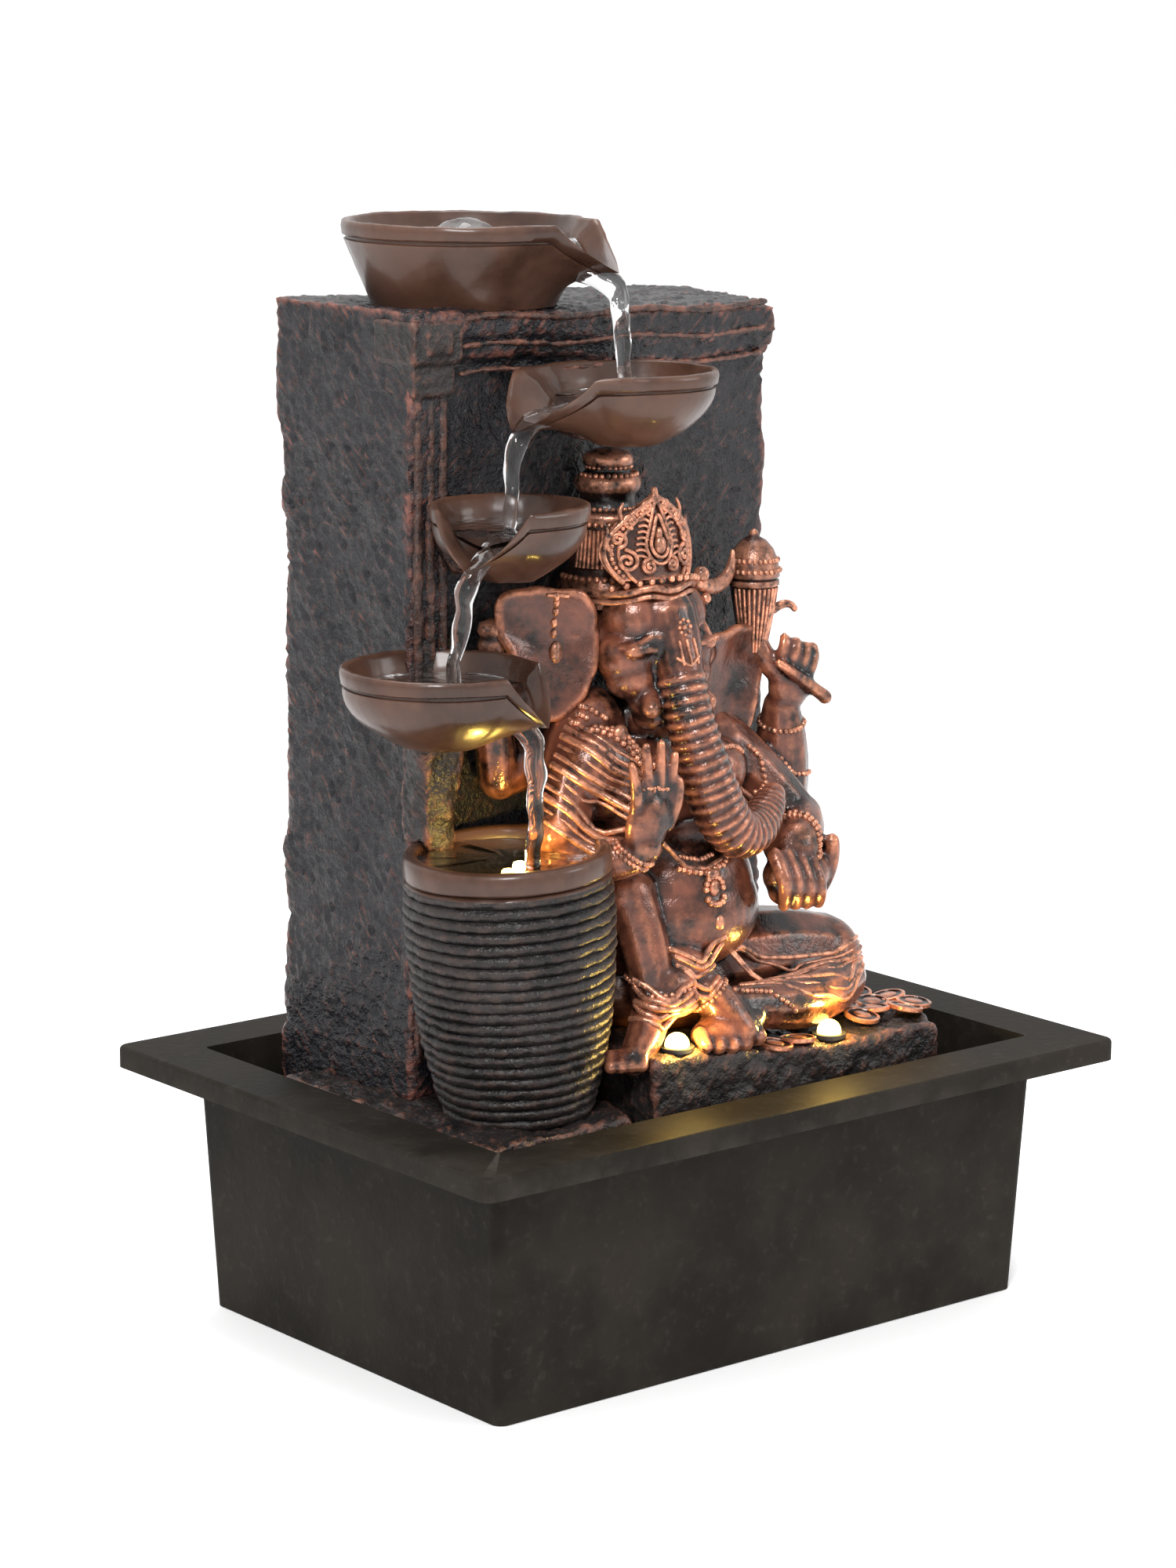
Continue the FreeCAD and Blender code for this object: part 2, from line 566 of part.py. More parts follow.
# ---- seated figure ---------------------------------------------------------------------------------------
def make_figure():
    """Seated elephant-headed figure in plain masses: limbs, belly, head, trunk, ears and tiered crown."""
    seat = plinth_top
    masses = [
        Part.makeSphere(28.0, Vector(-8, -42, seat + 57)),          # belly
        limb((-30, -33, seat + 95), (12, -33, seat + 92), 19, 18),  # chest and shoulders
        limb((-34, -34, seat + 19), (36, -34, seat + 19), 20, 19),  # lap
        limb((18, -35, seat + 23), (68, -43, seat + 21), 18, 17),   # thigh on the right
        limb((66, -50, seat + 14), (12, -65, seat + 12), 13, 10),   # shin on the right
        limb((-16, -61, seat + 19), (6, -71, seat + 8), 9, 7),      # foot
        limb((-40, -50, seat + 62), (-37, -59, seat + 27), 11, 10),  # shin on the left
        limb((-38, -60, seat + 21), (-48, -67, seat + 12), 10, 7),  # foot on the left
        Part.makeSphere(21.5, Vector(-20, -38, seat + 152)),        # head
        limb((-21, -57, seat + 142), (-20, -66, seat + 116), 12, 11),
        limb((-20, -66.5, seat + 115), (-15, -70, seat + 87), 10.2, 10),
        limb((-15, -69.5, seat + 88), (4, -66, seat + 80), 9.2, 9),
        limb((4, -66, seat + 81), (16, -62, seat + 86), 7.6, 6),
        disc_mass((-59, -31, seat + 148), 19.5, 7.0),               # ear on the left
        disc_mass((13, -36, seat + 130), 20.5, 7.5),                # ear on the right
        limb((-22, -24, seat + 168), (-22, -22, seat + 206), 18, 11),  # crown
        limb((-21.5, -40, seat + 178), (-22, -38, seat + 193), 13, 8),  # crown front plate
        limb((-46, -30, seat + 112), (-60, -40, seat + 78), 13, 11),  # lower arm on the left
        limb((-60, -43, seat + 77), (-49, -65, seat + 81), 9, 7),
        limb((-46, -69, seat + 86), (-46, -72, seat + 111), 9, 6),
        limb((24, -33, seat + 98), (43, -43, seat + 76), 12, 11),   # lower arm on the right
        limb((43, -45, seat + 76), (32, -58, seat + 74), 10, 9),
        Part.makeSphere(14.0, Vector(30, -61, seat + 63)),          # cupped hand
        limb((20, -28, seat + 104), (47, -31, seat + 83), 12, 11),  # raised arm on the right
        limb((47, -31, seat + 85), (47, -37, seat + 116), 10, 8),
        limb((47, -38, seat + 120), (49, -40, seat + 134), 8, 6),
        limb((40, -38, seat + 134), (34, -32, seat + 174), 6, 9),   # what it holds
        limb((-50, -24, seat + 108), (-72, -23, seat + 102), 11, 9),  # raised arm on the left
        limb((-72, -23, seat + 104), (-78, -24, seat + 138), 8, 7),
        limb((-78, -24, seat + 142), (-80, -24, seat + 160), 6.5, 6),
    ]
    return fuse(masses)


def make_brackets():
    """Rock brackets that join three bowls to the slab; the lowest one runs down to the pot."""
    top = bowl_4["rim_z"] - bowl_4["height"] + 4.0
    outline = [(slab_left - 2.0, top), (slab_left + 16.0, top), (slab_left + 14.0, top - 20.0),
               (slab_left + 11.0, ledge_top + pot_height - 6.0), (slab_left - 1.0, ledge_top + pot_height - 2.0)]
    corbel = prism(outline, "y", slab_front - 14.0, 14.0)
    brackets = [corbel]
    for spec in (bowl_2, bowl_3):
        x, z = spec["x"], spec["rim_z"] - 8.0
        reach = slab_front - spec["y"] - 0.55 * spec["rim_radius"]
        brackets.append(prism([(x - 14.0, z), (x + 14.0, z), (x + 9.0, z - 16.0), (x - 8.0, z - 18.0)],
                              "y", slab_front - reach, reach))
    return brackets


def make_coins():
    """Heap of cast coins on the plinth: groups of thin discs, each leaning its own way."""
    radius, thickness = 6.5, 1.6
    places = [(62, -66, 8), (73, -60, -6), (84, -66, 10), (80, -52, 4), (90, -50, -9), (68, -48, 0),
              (84, -38, 8), (10, -73, 6), (22, -75, -5)]
    coins = []
    for x, y, tilt in places:
        disc = cylinder(radius, thickness, Vector(x, y, plinth_height_at(x)))
        disc.rotate(Vector(x, y, plinth_height_at(x)), Vector(1, 0.6, 0), tilt)
        coins.append(disc)
    return coins


# ---- lamps and leads -------------------------------------------------------------------------------------
def make_lamp(x, y, seat):
    flange = cylinder(lamp_flange_radius, lamp_flange_height, Vector(x, y, seat))
    body = cylinder(lamp_body_radius, lamp_body_length, Vector(x, y, seat - lamp_body_length))
    pocket = cylinder(lamp_lens_radius, lamp_flange_height + 1.0, Vector(x, y, seat - 1.0))
    dome = limb((x, y, seat + lamp_flange_height), (x, y, seat + lamp_flange_height + 0.5),
                lamp_lens_radius, lamp_lens_radius)
    lens = fuse([dome.common(cylinder(30.0, 30.0, Vector(x, y, seat + lamp_flange_height))), pocket])
    return fuse([flange, body]).cut(pocket), lens


def lead_from(x, y, top, hole_z, entry_x, entry_y):
    """LED lead: down from the lamp, back through the slab's front wall, across and up to the junction box."""
    return [(x, y, top), (x, y, hole_z), (x, entry_y, hole_z), (entry_x, entry_y, hole_z),
            (entry_x, entry_y, junction_z)]


# ---- pump ------------------------------------------------------------------------------------------------
def make_pump_parts():
    sx, sy, sz = pump_body_size
    x0, y0, z0 = pump_face_x, pump_axis_y, pump_axis_z
    axis = Vector(1, 0, 0)
    parts = {}
    block = box(x0, y0 - sy / 2, z0 - sz / 2, x0 + sx, y0 + sy / 2, z0 + sz / 2)
    block = block.makeFillet(3.0, [e for e in block.Edges if abs(e.Vertexes[0].X - e.Vertexes[1].X) > 1.0])
    well_length = rotor_magnet_length + 1.0
    well = cylinder(rotor_magnet_radius + rotor_well_gap, well_length, Vector(x0, y0, z0), axis)
    back_seat = cylinder(bush_radius, bush_length, Vector(x0 + well_length, y0, z0), axis)
    parts["pump_motor_block"] = block.cut(well).cut(back_seat)

    front = x0 - volute_length
    shell = cylinder(volute_radius, volute_length, Vector(front, y0, z0), axis)
    nozzle_base = Vector(pump_outlet_x, riser_y, z0)
    nozzle_top = z0 + sz / 2 + 4.0 + spigot_grip
    nozzle = cylinder(hose_bore - push_fit_gap, nozzle_top - z0, nozzle_base)
    chamber = cylinder(volute_radius - volute_wall, volute_length - volute_wall,
                       Vector(front + volute_wall, y0, z0), axis)
    bore = cylinder(hose_bore - push_fit_gap - spigot_wall, nozzle_top - z0 + 1.0, nozzle_base)
    inlet = cylinder(inlet_radius, volute_wall * 2, Vector(front - 1.0, y0, z0), axis)
    volute = fuse([shell, nozzle]).cut(chamber).cut(bore).cut(inlet)
    hub = cylinder(bush_radius + 1.6, volute_wall, Vector(front, y0, z0), axis)
    spokes = [box(front, y0 - 0.8, z0, front + volute_wall, y0 + 0.8, z0 + inlet_radius + 0.5)]
    for turn in (120, 240):
        spoke = spokes[0].copy()
        spoke.rotate(Vector(front, y0, z0), axis, turn)
        spokes.append(spoke)
    front_seat = cylinder(bush_radius, volute_wall + 2.0, Vector(front - 1.0, y0, z0), axis)
    parts["pump_volute"] = fuse([volute, hub] + spokes).cut(front_seat)

    bush_front_x = front - 1.0
    for name, start, blind in (("shaft_bush_front", bush_front_x, 1.0), ("shaft_bush_rear", x0 + well_length, -1.0)):
        bush = cylinder(bush_radius, bush_length, Vector(start, y0, z0), axis)
        hole_start = start + (1.0 if blind > 0 else 0.0)
        bush = bush.cut(cylinder(shaft_radius, bush_length - 1.0, Vector(hole_start, y0, z0), axis))
        parts[name] = bush
    shaft_start = bush_front_x + 1.0
    shaft_end = x0 + well_length + bush_length - 1.0
    parts["pump_shaft"] = cylinder(shaft_radius, shaft_end - shaft_start, Vector(shaft_start, y0, z0), axis)

    magnet = cylinder(rotor_magnet_radius, rotor_magnet_length - 1.0, Vector(x0 + 1.0, y0, z0), axis)
    neck = cylinder(rotor_magnet_radius * 0.7, 3.0, Vector(x0 - 1.5, y0, z0), axis)
    disc = cylinder(impeller_radius, 1.4, Vector(x0 - 2.5, y0, z0), axis)
    vane_start = x0 - 2.5 - impeller_thickness
    vanes = []
    for i in range(impeller_vanes):
        vane = box(vane_start, y0 - 0.6, z0 + 2.0, x0 - 2.4, y0 + 0.6, z0 + impeller_radius)
        vane.rotate(Vector(x0, y0, z0), axis, 360.0 / impeller_vanes * i)
        vanes.append(vane)
    hub_start = vane_start + 0.5
    rotor_hub = cylinder(shaft_radius + 2.0, x0 - hub_start, Vector(hub_start, y0, z0), axis)
    rotor = fuse([magnet, neck, disc, rotor_hub] + vanes)
    rotor = rotor.cut(cylinder(shaft_radius + shaft_running_gap, 80.0, Vector(vane_start - 10.0, y0, z0), axis))
    parts["pump_rotor"] = rotor

    # strainer: slotted box over the volute, open towards the motor block, with a window for the flow slider
    gap = 0.4
    half_y, half_z = sy / 2, sz / 2
    s_front = front - 8.0
    outer = box(s_front, y0 - half_y, z0 - half_z, x0 - 0.2, y0 + half_y, z0 + half_z)
    hollow = box(s_front + strainer_wall, y0 - half_y + strainer_wall, z0 - half_z + strainer_wall,
                 x0 + 1.0, y0 + half_y - strainer_wall, z0 + half_z - strainer_wall)
    strainer = outer.cut(hollow)
    slot_room = hose_bore + gap
    strainer = strainer.cut(box(pump_outlet_x - slot_room, riser_y - slot_room, z0, x0 + 1.0, riser_y + slot_room,
                                z0 + half_z + 1.0))
    pitch = (2 * half_y - 8.0) / strainer_bars
    for i in range(strainer_bars):
        y = y0 - half_y + 4.0 + pitch * (i + 0.5)
        strainer = strainer.cut(box(s_front - 1.0, y - strainer_slot / 2, z0 - half_z + 4.0,
                                    s_front + strainer_wall + 1.0, y + strainer_slot / 2, z0 + 2.0))
    window = box(s_front - 1.0, y0 - slider_width, z0 + 6.0, s_front + strainer_wall + 1.0,
                 y0 + slider_width, z0 + 6.0 + slider_height - 3.0)
    strainer = strainer.cut(window)
    parts["pump_strainer"] = strainer

    knob_half = slider_width / 2 - slider_travel / 2 + 3.0
    gate = box(s_front + strainer_wall + 0.2, y0 - slider_width / 2 - 1.0, z0 + 4.5,
               s_front + strainer_wall + 1.4, y0 + slider_width / 2 + 1.0, z0 + 4.5 + slider_height)
    stem_low, stem_high = z0 + 6.0 + 0.2, z0 + 6.0 + slider_height - 3.0 - 0.2
    stem = box(s_front - 1.5, y0 - knob_half, stem_low, s_front + strainer_wall + 0.3, y0 + knob_half, stem_high)
    grip = box(s_front - 3.0, y0 - knob_half, stem_low, s_front - 1.4, y0 + knob_half, stem_high)
    slider = fuse([gate, stem, grip])
    slider.translate(Vector(0, -slider_travel / 2, 0))
    parts["flow_slider"] = slider

    pad_start = s_front + strainer_wall + 1.6
    parts["filter_pad"] = box(pad_start, y0 - volute_radius, z0 - volute_radius, bush_front_x - 0.2,
                              y0 + volute_radius, z0 + volute_radius)
    gland_z = z0 + sz / 4
    gland = fuse([cylinder(gland_radius + 1.5, 2.0, Vector(x0 + sx, y0, gland_z), axis),
                  cylinder(gland_radius, gland_length, Vector(x0 + sx, y0, gland_z), axis)])
    parts["cable_gland"] = gland

    cups = []
    for dx in (cup_radius + 1.0, sx - cup_radius - 1.0):
        for dy in (-1, 1):
            x, y = x0 + dx, y0 + dy * (sy / 2 - cup_radius - 1.0)
            edges = [line((x, y, tub_floor), (x + cup_radius, y, tub_floor)),
                     line((x + cup_radius, y, tub_floor), (x + 3.0, y, tub_floor + pump_cup_height - 3.0)),
                     line((x + 3.0, y, tub_floor + pump_cup_height - 3.0), (x + 3.0, y, tub_floor + pump_cup_height)),
                     line((x + 3.0, y, tub_floor + pump_cup_height), (x, y, tub_floor + pump_cup_height)),
                     line((x, y, tub_floor + pump_cup_height), (x, y, tub_floor))]
            cups.append(revolve(edges, x, y))
    parts["suction_cups"] = cups
    return parts, nozzle_top


# ---- hose and outlet -------------------------------------------------------------------------------------
def make_riser(nozzle_top):
    """Straight hose from the pump's nozzle to the spigot in the top bowl's floor."""
    low = nozzle_top - spigot_grip
    bowl_floor_top = bowl_1["rim_z"] - bowl_1["height"] + bowl_floor
    high = bowl_1["rim_z"] - bowl_1["height"]
    outer = hose_bore + hose_wall
    hose = cylinder(outer, high - low, Vector(riser_x, riser_y, low))
    hose = hose.cut(cylinder(hose_bore, high - low, Vector(riser_x, riser_y, low)))
    spigot_top = bowl_floor_top + 9.0
    spigot = cylinder(hose_bore, spigot_top - high, Vector(riser_x, riser_y, high))
    tail = cylinder(hose_bore - push_fit_gap, spigot_grip, Vector(riser_x, riser_y, high - spigot_grip))
    collar = cylinder(hose_bore + 4.0, 2.0, Vector(riser_x, riser_y, bowl_floor_top))
    bore = cylinder(hose_bore - push_fit_gap - spigot_wall, 200.0, Vector(riser_x, riser_y, high - spigot_grip - 1.0))
    spigot = fuse([spigot, tail, collar]).cut(bore)
    roof_low = slab_top_right - slab_roof
    grommet_low = roof_low - 2.0
    grommet_high = high
    grommet = cylinder(outer + grommet_wall, grommet_high - grommet_low, Vector(riser_x, riser_y, grommet_low))
    flange = cylinder(outer + grommet_wall + 2.5, 2.0, Vector(riser_x, riser_y, grommet_low))
    grommet = fuse([grommet, flange]).cut(cylinder(outer, 60.0, Vector(riser_x, riser_y, grommet_low - 1.0)))
    return hose, spigot, grommet


# ---- assembly --------------------------------------------------------------------------------------------
def build():
    parts = {}
    parts["basin_tub"] = make_tub()
    slab = make_slab()
    envelope = fuse([slab_envelope()] + slab_trim())
    parts["backdrop_slab"] = slab
    parts["rear_cover"] = make_cover()
    plinth = make_plinth().cut(envelope)
    ledge = make_ledge().cut(envelope).cut(prism(plinth_profile(0.0), "y", plinth_front, slab_front - plinth_front))
    parts["plinth"], parts["base_ledge"] = plinth, ledge
    pot = make_pot().cut(envelope).cut(ledge)
    pot = max(pot.Solids, key=lambda s: s.Volume)
    parts["ribbed_pot"] = pot

    bowls = []
    floor_hole = cylinder(hose_bore, 40.0, Vector(riser_x, riser_y, bowl_1["rim_z"] - bowl_1["height"] - 20.0))
    for spec in (bowl_1, bowl_2, bowl_3, bowl_4):
        bowl = make_bowl(spec).cut(envelope)
        if spec is bowl_1:
            bowl = bowl.cut(floor_hole)
        for other in bowls + [pot]:
            bowl = bowl.cut(other)
        bowls.append(max(bowl.Solids, key=lambda s: s.Volume))
    for i, bowl in enumerate(bowls):
        parts[f"bowl_{i + 1}"] = bowl

    brackets = []
    blanks = [pot] + [bowl_blank(spec) for spec in (bowl_2, bowl_3, bowl_4)] + bowls
    for bracket in make_brackets():
        bracket = bracket.cut(envelope)
        for other in blanks:
            bracket = bracket.cut(other)
        brackets.append(max(bracket.Solids, key=lambda s: s.Volume))
    parts["stone_brackets"] = brackets

    figure = make_figure().cut(envelope)
    plinth_block = prism(plinth_profile(0.0), "y", plinth_front, slab_front - plinth_front)
    for other in [plinth_block, pot_lean_applied(pot_blank())] + brackets + bowls:
        figure = figure.cut(other)
    parts["seated_figure"] = max(figure.Solids, key=lambda s: s.Volume)

    lamp_specs = {side: (x, y, plinth_height_at(x)) for side, (x, y) in (("left", lamp_left), ("right", lamp_right))}
    for name, (x, y, seat) in lamp_specs.items():
        body, lens = make_lamp(x, y, seat)
        parts[f"lamp_{name}"] = body.cut(parts["plinth"]).cut(parts["seated_figure"])
        parts[f"lamp_{name}_lens"] = lens.cut(parts["seated_figure"])
    dish = ledge_top + pot_height - pot_dish_depth
    body, lens = make_lamp(pot_x, pot_y, dish)
    parts["lamp_pot"] = pot_lean_applied(body)
    parts["lamp_pot_lens"] = pot_lean_applied(lens)

    coins = []
    for coin in make_coins():
        coin = coin.cut(plinth).cut(parts["seated_figure"])
        for done in coins:
            coin = coin.cut(done)
        if coin.Volume > 20.0:
            coins.append(coin)
    parts["coins"] = coins

    jx, jy, jz = junction_size
    junction_y = slab_front + slab_wall
    junction = box(junction_x, junction_y, junction_z, junction_x + jx, junction_y + jy, junction_z + jz)
    parts["led_junction_box"] = junction
    near_y, far_y = junction_y + 0.3 * jy, junction_y + 0.75 * jy
    entries = {"left": jx * 0.2, "right": jx * 0.8}
    for name, (x, y, seat) in lamp_specs.items():
        route = lead_from(x, y, seat - lamp_body_length, lead_hole_height, junction_x + entries[name], near_y)
        parts[f"led_lead_{name}"] = bent_tube(route, lead_radius, lead_bend)
    pot_lead_x, pot_lead_z = pot_lead_place()
    route = lead_from(pot_lead_x, pot_y, dish - lamp_body_length, pot_lead_z, junction_x + jx / 2, far_y)
    parts["led_lead_pot"] = bent_tube(route, lead_radius, lead_bend).cut(parts["lamp_pot"])

    pump, nozzle_top = make_pump_parts()
    parts.update(pump)
    hose, spigot, grommet = make_riser(nozzle_top)
    parts["riser_hose"], parts["outlet_spigot"], parts["hose_grommet"] = hose, spigot, grommet.cut(bowls[0])
    return parts


def bowl_blank(spec):
    """The inside of a bowl, which its neighbours keep out of."""
    return bowl_turned(spec, 0.5 * bowl_wall, 0.5 * bowl_floor, 2.0)


def pot_blank():
    """The pot as one plain solid, slightly oversize, for fitting its neighbours to it."""
    blank_margin = 0.8
    foot = ledge_top
    heights = [0.0, 20.0, 45.0, 70.0, pot_height]
    edges = []
    points = [(pot_radius_at(z) + pot_rib_depth + blank_margin, foot + z) for z in heights]
    points = [(0.0, foot)] + points + [(0.0, foot + pot_height)]
    points.append(points[0])
    edges = [line((pot_x + a, pot_y, b), (pot_x + c, pot_y, d)) for (a, b), (c, d) in zip(points, points[1:])]
    return revolve(edges, pot_x, pot_y)


def main():
    os.makedirs("parts", exist_ok=True)
    for name, shape in build().items():
        solids = shape if isinstance(shape, list) else shape.Solids
        solid = solids[0] if len(solids) == 1 else Part.makeCompound(solids)
        good = all(s.isValid() and s.isClosed() for s in solid.Solids)
        print(f"{name:20s} solids {len(solid.Solids)} volume {solid.Volume / 1000:9.2f} cm3 {'ok' if good else 'BAD'}")
        solid.exportStep(f"parts/{name}.step")


main()
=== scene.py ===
import json
import math
import random

import bpy
from mathutils import Matrix, Vector, noise

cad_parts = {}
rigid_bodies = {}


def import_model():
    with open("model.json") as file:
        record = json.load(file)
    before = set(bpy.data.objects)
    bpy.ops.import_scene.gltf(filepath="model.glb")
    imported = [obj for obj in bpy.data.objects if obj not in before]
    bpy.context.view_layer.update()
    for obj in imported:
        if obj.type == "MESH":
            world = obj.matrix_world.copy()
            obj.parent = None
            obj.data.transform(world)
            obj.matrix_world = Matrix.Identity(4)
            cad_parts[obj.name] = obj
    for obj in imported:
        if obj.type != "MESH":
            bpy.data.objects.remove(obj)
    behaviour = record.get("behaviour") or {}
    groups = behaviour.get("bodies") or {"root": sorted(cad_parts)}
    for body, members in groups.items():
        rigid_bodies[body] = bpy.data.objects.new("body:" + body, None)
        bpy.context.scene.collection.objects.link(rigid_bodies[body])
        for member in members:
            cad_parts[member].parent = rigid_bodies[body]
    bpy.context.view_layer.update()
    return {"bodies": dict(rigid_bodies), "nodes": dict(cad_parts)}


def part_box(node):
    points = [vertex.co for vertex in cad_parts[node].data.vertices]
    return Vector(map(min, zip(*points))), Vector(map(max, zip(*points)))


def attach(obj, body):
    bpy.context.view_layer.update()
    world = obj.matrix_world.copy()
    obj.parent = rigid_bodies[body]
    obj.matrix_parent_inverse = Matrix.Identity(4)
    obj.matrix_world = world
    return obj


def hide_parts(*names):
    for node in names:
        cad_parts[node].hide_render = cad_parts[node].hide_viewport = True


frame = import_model()
mm = 0.001  # places and sizes below are in millimetres
random.seed(7)


# bench tools
def clearSelection():
    if bpy.context.object and bpy.context.object.mode != "OBJECT":
        bpy.ops.object.mode_set(mode="OBJECT")
    bpy.ops.object.select_all(action="DESELECT")


def pick(*pieces):
    clearSelection()
    for piece in pieces:
        piece.select_set(True)
    bpy.context.view_layer.objects.active = pieces[0]


def settle(piece):  # puts place, turn and size into the mesh
    pick(piece)
    bpy.ops.object.transform_apply(location=True, rotation=True, scale=True)
    return piece


def modify(piece, kind, **settings):
    pick(piece)
    modifier = piece.modifiers.new(kind.lower(), kind)
    for key, value in settings.items():
        setattr(modifier, key, value)
    bpy.ops.object.modifier_apply(modifier=modifier.name)
    return piece


def joinAll(name, pieces):
    pick(*pieces)
    bpy.ops.object.join()
    pieces[0].name = name
    pieces[0].data.name = name
    return pieces[0]


def smooth(piece, degrees=70):
    pick(piece)
    bpy.ops.object.shade_smooth_by_angle(angle=math.radians(degrees))
    return piece


def mendNormals(piece, gap=0.02):
    pick(piece)
    bpy.ops.object.mode_set(mode="EDIT")
    bpy.ops.mesh.select_all(action="SELECT")
    bpy.ops.mesh.remove_doubles(threshold=gap * mm)
    bpy.ops.mesh.normals_make_consistent(inside=False)
    bpy.ops.object.mode_set(mode="OBJECT")
    return piece


def ball(centre, radii, turn=(0, 0, 0), segments=20):
    bpy.ops.mesh.primitive_uv_sphere_add(segments=segments, ring_count=segments // 2 + 2, radius=mm,
                                         location=Vector(centre) * mm)
    piece = bpy.context.object
    piece.rotation_euler = [math.radians(a) for a in turn]
    piece.scale = radii if hasattr(radii, "__len__") else (radii, radii, radii)
    return settle(piece)


def rod(points, radii, steps=5, sides=3, rounded=True, closed=False):
    line = bpy.data.curves.new("rod", "CURVE")
    line.dimensions = "3D"
    line.bevel_depth = mm
    line.bevel_resolution = sides
    line.use_fill_caps = True
    spline = line.splines.new("NURBS")
    spline.points.add(len(points) - 1)
    if not hasattr(radii, "__len__"):
        radii = [radii] * len(points)
    for knot, place, radius in zip(spline.points, points, radii):
        knot.co = (*(Vector(place) * mm), 1)
        knot.radius = radius
    spline.order_u = 3
    spline.use_endpoint_u = not closed
    spline.use_cyclic_u = closed
    spline.resolution_u = steps
    piece = bpy.data.objects.new("rod", line)
    bpy.context.scene.collection.objects.link(piece)
    pick(piece)
    bpy.ops.object.convert(target="MESH")
    piece = bpy.context.object
    if rounded and not closed:
        ends = [ball(points[0], radii[0], segments=12), ball(points[-1], radii[-1], segments=12)]
        piece = joinAll("rod", [piece, *ends])
    return piece


def wrapGrid(name, across, along, place):  # each point of a grid goes to place(u, v), u and v from 0 to 1
    bpy.ops.mesh.primitive_grid_add(x_subdivisions=across, y_subdivisions=along, size=2)
    piece = bpy.context.object
    piece.name = name
    for point in piece.data.vertices:
        point.co = Vector(place((point.co.x + 1) / 2, (point.co.y + 1) / 2)) * mm
    return mendNormals(piece)


def turned(name, centre, profile, steps=64):  # profile of (radius, z), turned about a vertical
    def place(u, v):
        at = v * (len(profile) - 1)
        low = min(int(at), len(profile) - 2)
        share = at - low
        radius = profile[low][0] * (1 - share) + profile[low + 1][0] * share
        height = profile[low][1] * (1 - share) + profile[low + 1][1] * share
        turn = 2 * math.pi * u
        return centre[0] + radius * math.cos(turn), centre[1] + radius * math.sin(turn), height
    return wrapGrid(name, steps, len(profile) - 1, place)


def roughen(piece, reach, size, seed=0, keep=None, sharp=False):  # pushes points along their normals by noise
    shift = Vector((seed * 3.1, seed * 1.7, seed * 2.3))
    normals = [Vector(n.vector) for n in piece.data.vertex_normals]
    for point, normal in zip(piece.data.vertices, normals):
        if keep and not keep(point.co / mm, normal):
            continue
        at = point.co / (size * mm) + shift
        value = noise.noise(at) + 0.5 * noise.noise(at * 2.3)
        if sharp:
            value = 0.6 - 1.6 * abs(value)
        point.co += normal * value * reach * mm
    return piece


def cadCopy(node, name):  # a welded copy of a CAD node's mesh, to be worked over
    source = frame["nodes"][node]
    piece = bpy.data.objects.new(name, source.data.copy())
    bpy.context.scene.collection.objects.link(piece)
    piece.data.materials.clear()
    pick(piece)
    bpy.ops.object.mode_set(mode="EDIT")
    bpy.ops.mesh.select_all(action="SELECT")
    bpy.ops.mesh.remove_doubles(threshold=0.004 * mm)
    bpy.ops.object.mode_set(mode="OBJECT")
    return piece


def voxelFuse(piece, size, relax=2, factor=0.5):
    modify(piece, "REMESH", mode="VOXEL", voxel_size=size * mm, use_smooth_shade=True)
    if relax:
        modify(piece, "SMOOTH", factor=factor, iterations=relax)
    return piece


def place(piece, body, slot, material, *nodes):
    piece.data.materials.clear()
    piece.data.materials.append(material)
    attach(piece, body)
    if nodes:
        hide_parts(*nodes)
    return piece


# materials
def node(tree, kind, sockets=None, **settings):
    made = tree.nodes.new(kind)
    for key, value in settings.items():
        setattr(made, key, value)
    for key, value in (sockets or {}).items():
        if isinstance(value, bpy.types.NodeSocket):
            tree.links.new(value, made.inputs[key])
        else:
            made.inputs[key].default_value = value
    return made


def ramp(tree, factor, *stops):
    made = node(tree, "ShaderNodeValToRGB", {"Fac": factor})
    while len(made.color_ramp.elements) < len(stops):
        made.color_ramp.elements.new(0.5)
    for element, (position, value) in zip(made.color_ramp.elements, stops):
        element.position = position
        element.color = (value, value, value, 1) if not hasattr(value, "__len__") else (*value, 1)
    return made.outputs["Color"]


def mixColours(tree, factor, first, second, blend="MIX"):
    made = node(tree, "ShaderNodeMix", data_type="RGBA", blend_type=blend)
    for index, value in ((0, factor), (6, first), (7, second)):
        if isinstance(value, bpy.types.NodeSocket):
            tree.links.new(value, made.inputs[index])
        elif index == 0:
            made.inputs[index].default_value = value
        else:
            made.inputs[index].default_value = (*value, 1)
    return made.outputs[2]


def multiply(tree, first, second):
    return node(tree, "ShaderNodeMath", {0: first, 1: second}, operation="MULTIPLY").outputs[0]


def noiseAt(tree, coordinates, scale, detail=4.0, roughness=0.6):
    return node(tree, "ShaderNodeTexNoise",
                {"Vector": coordinates, "Scale": scale, "Detail": detail,
                 "Roughness": roughness}).outputs["Fac"]


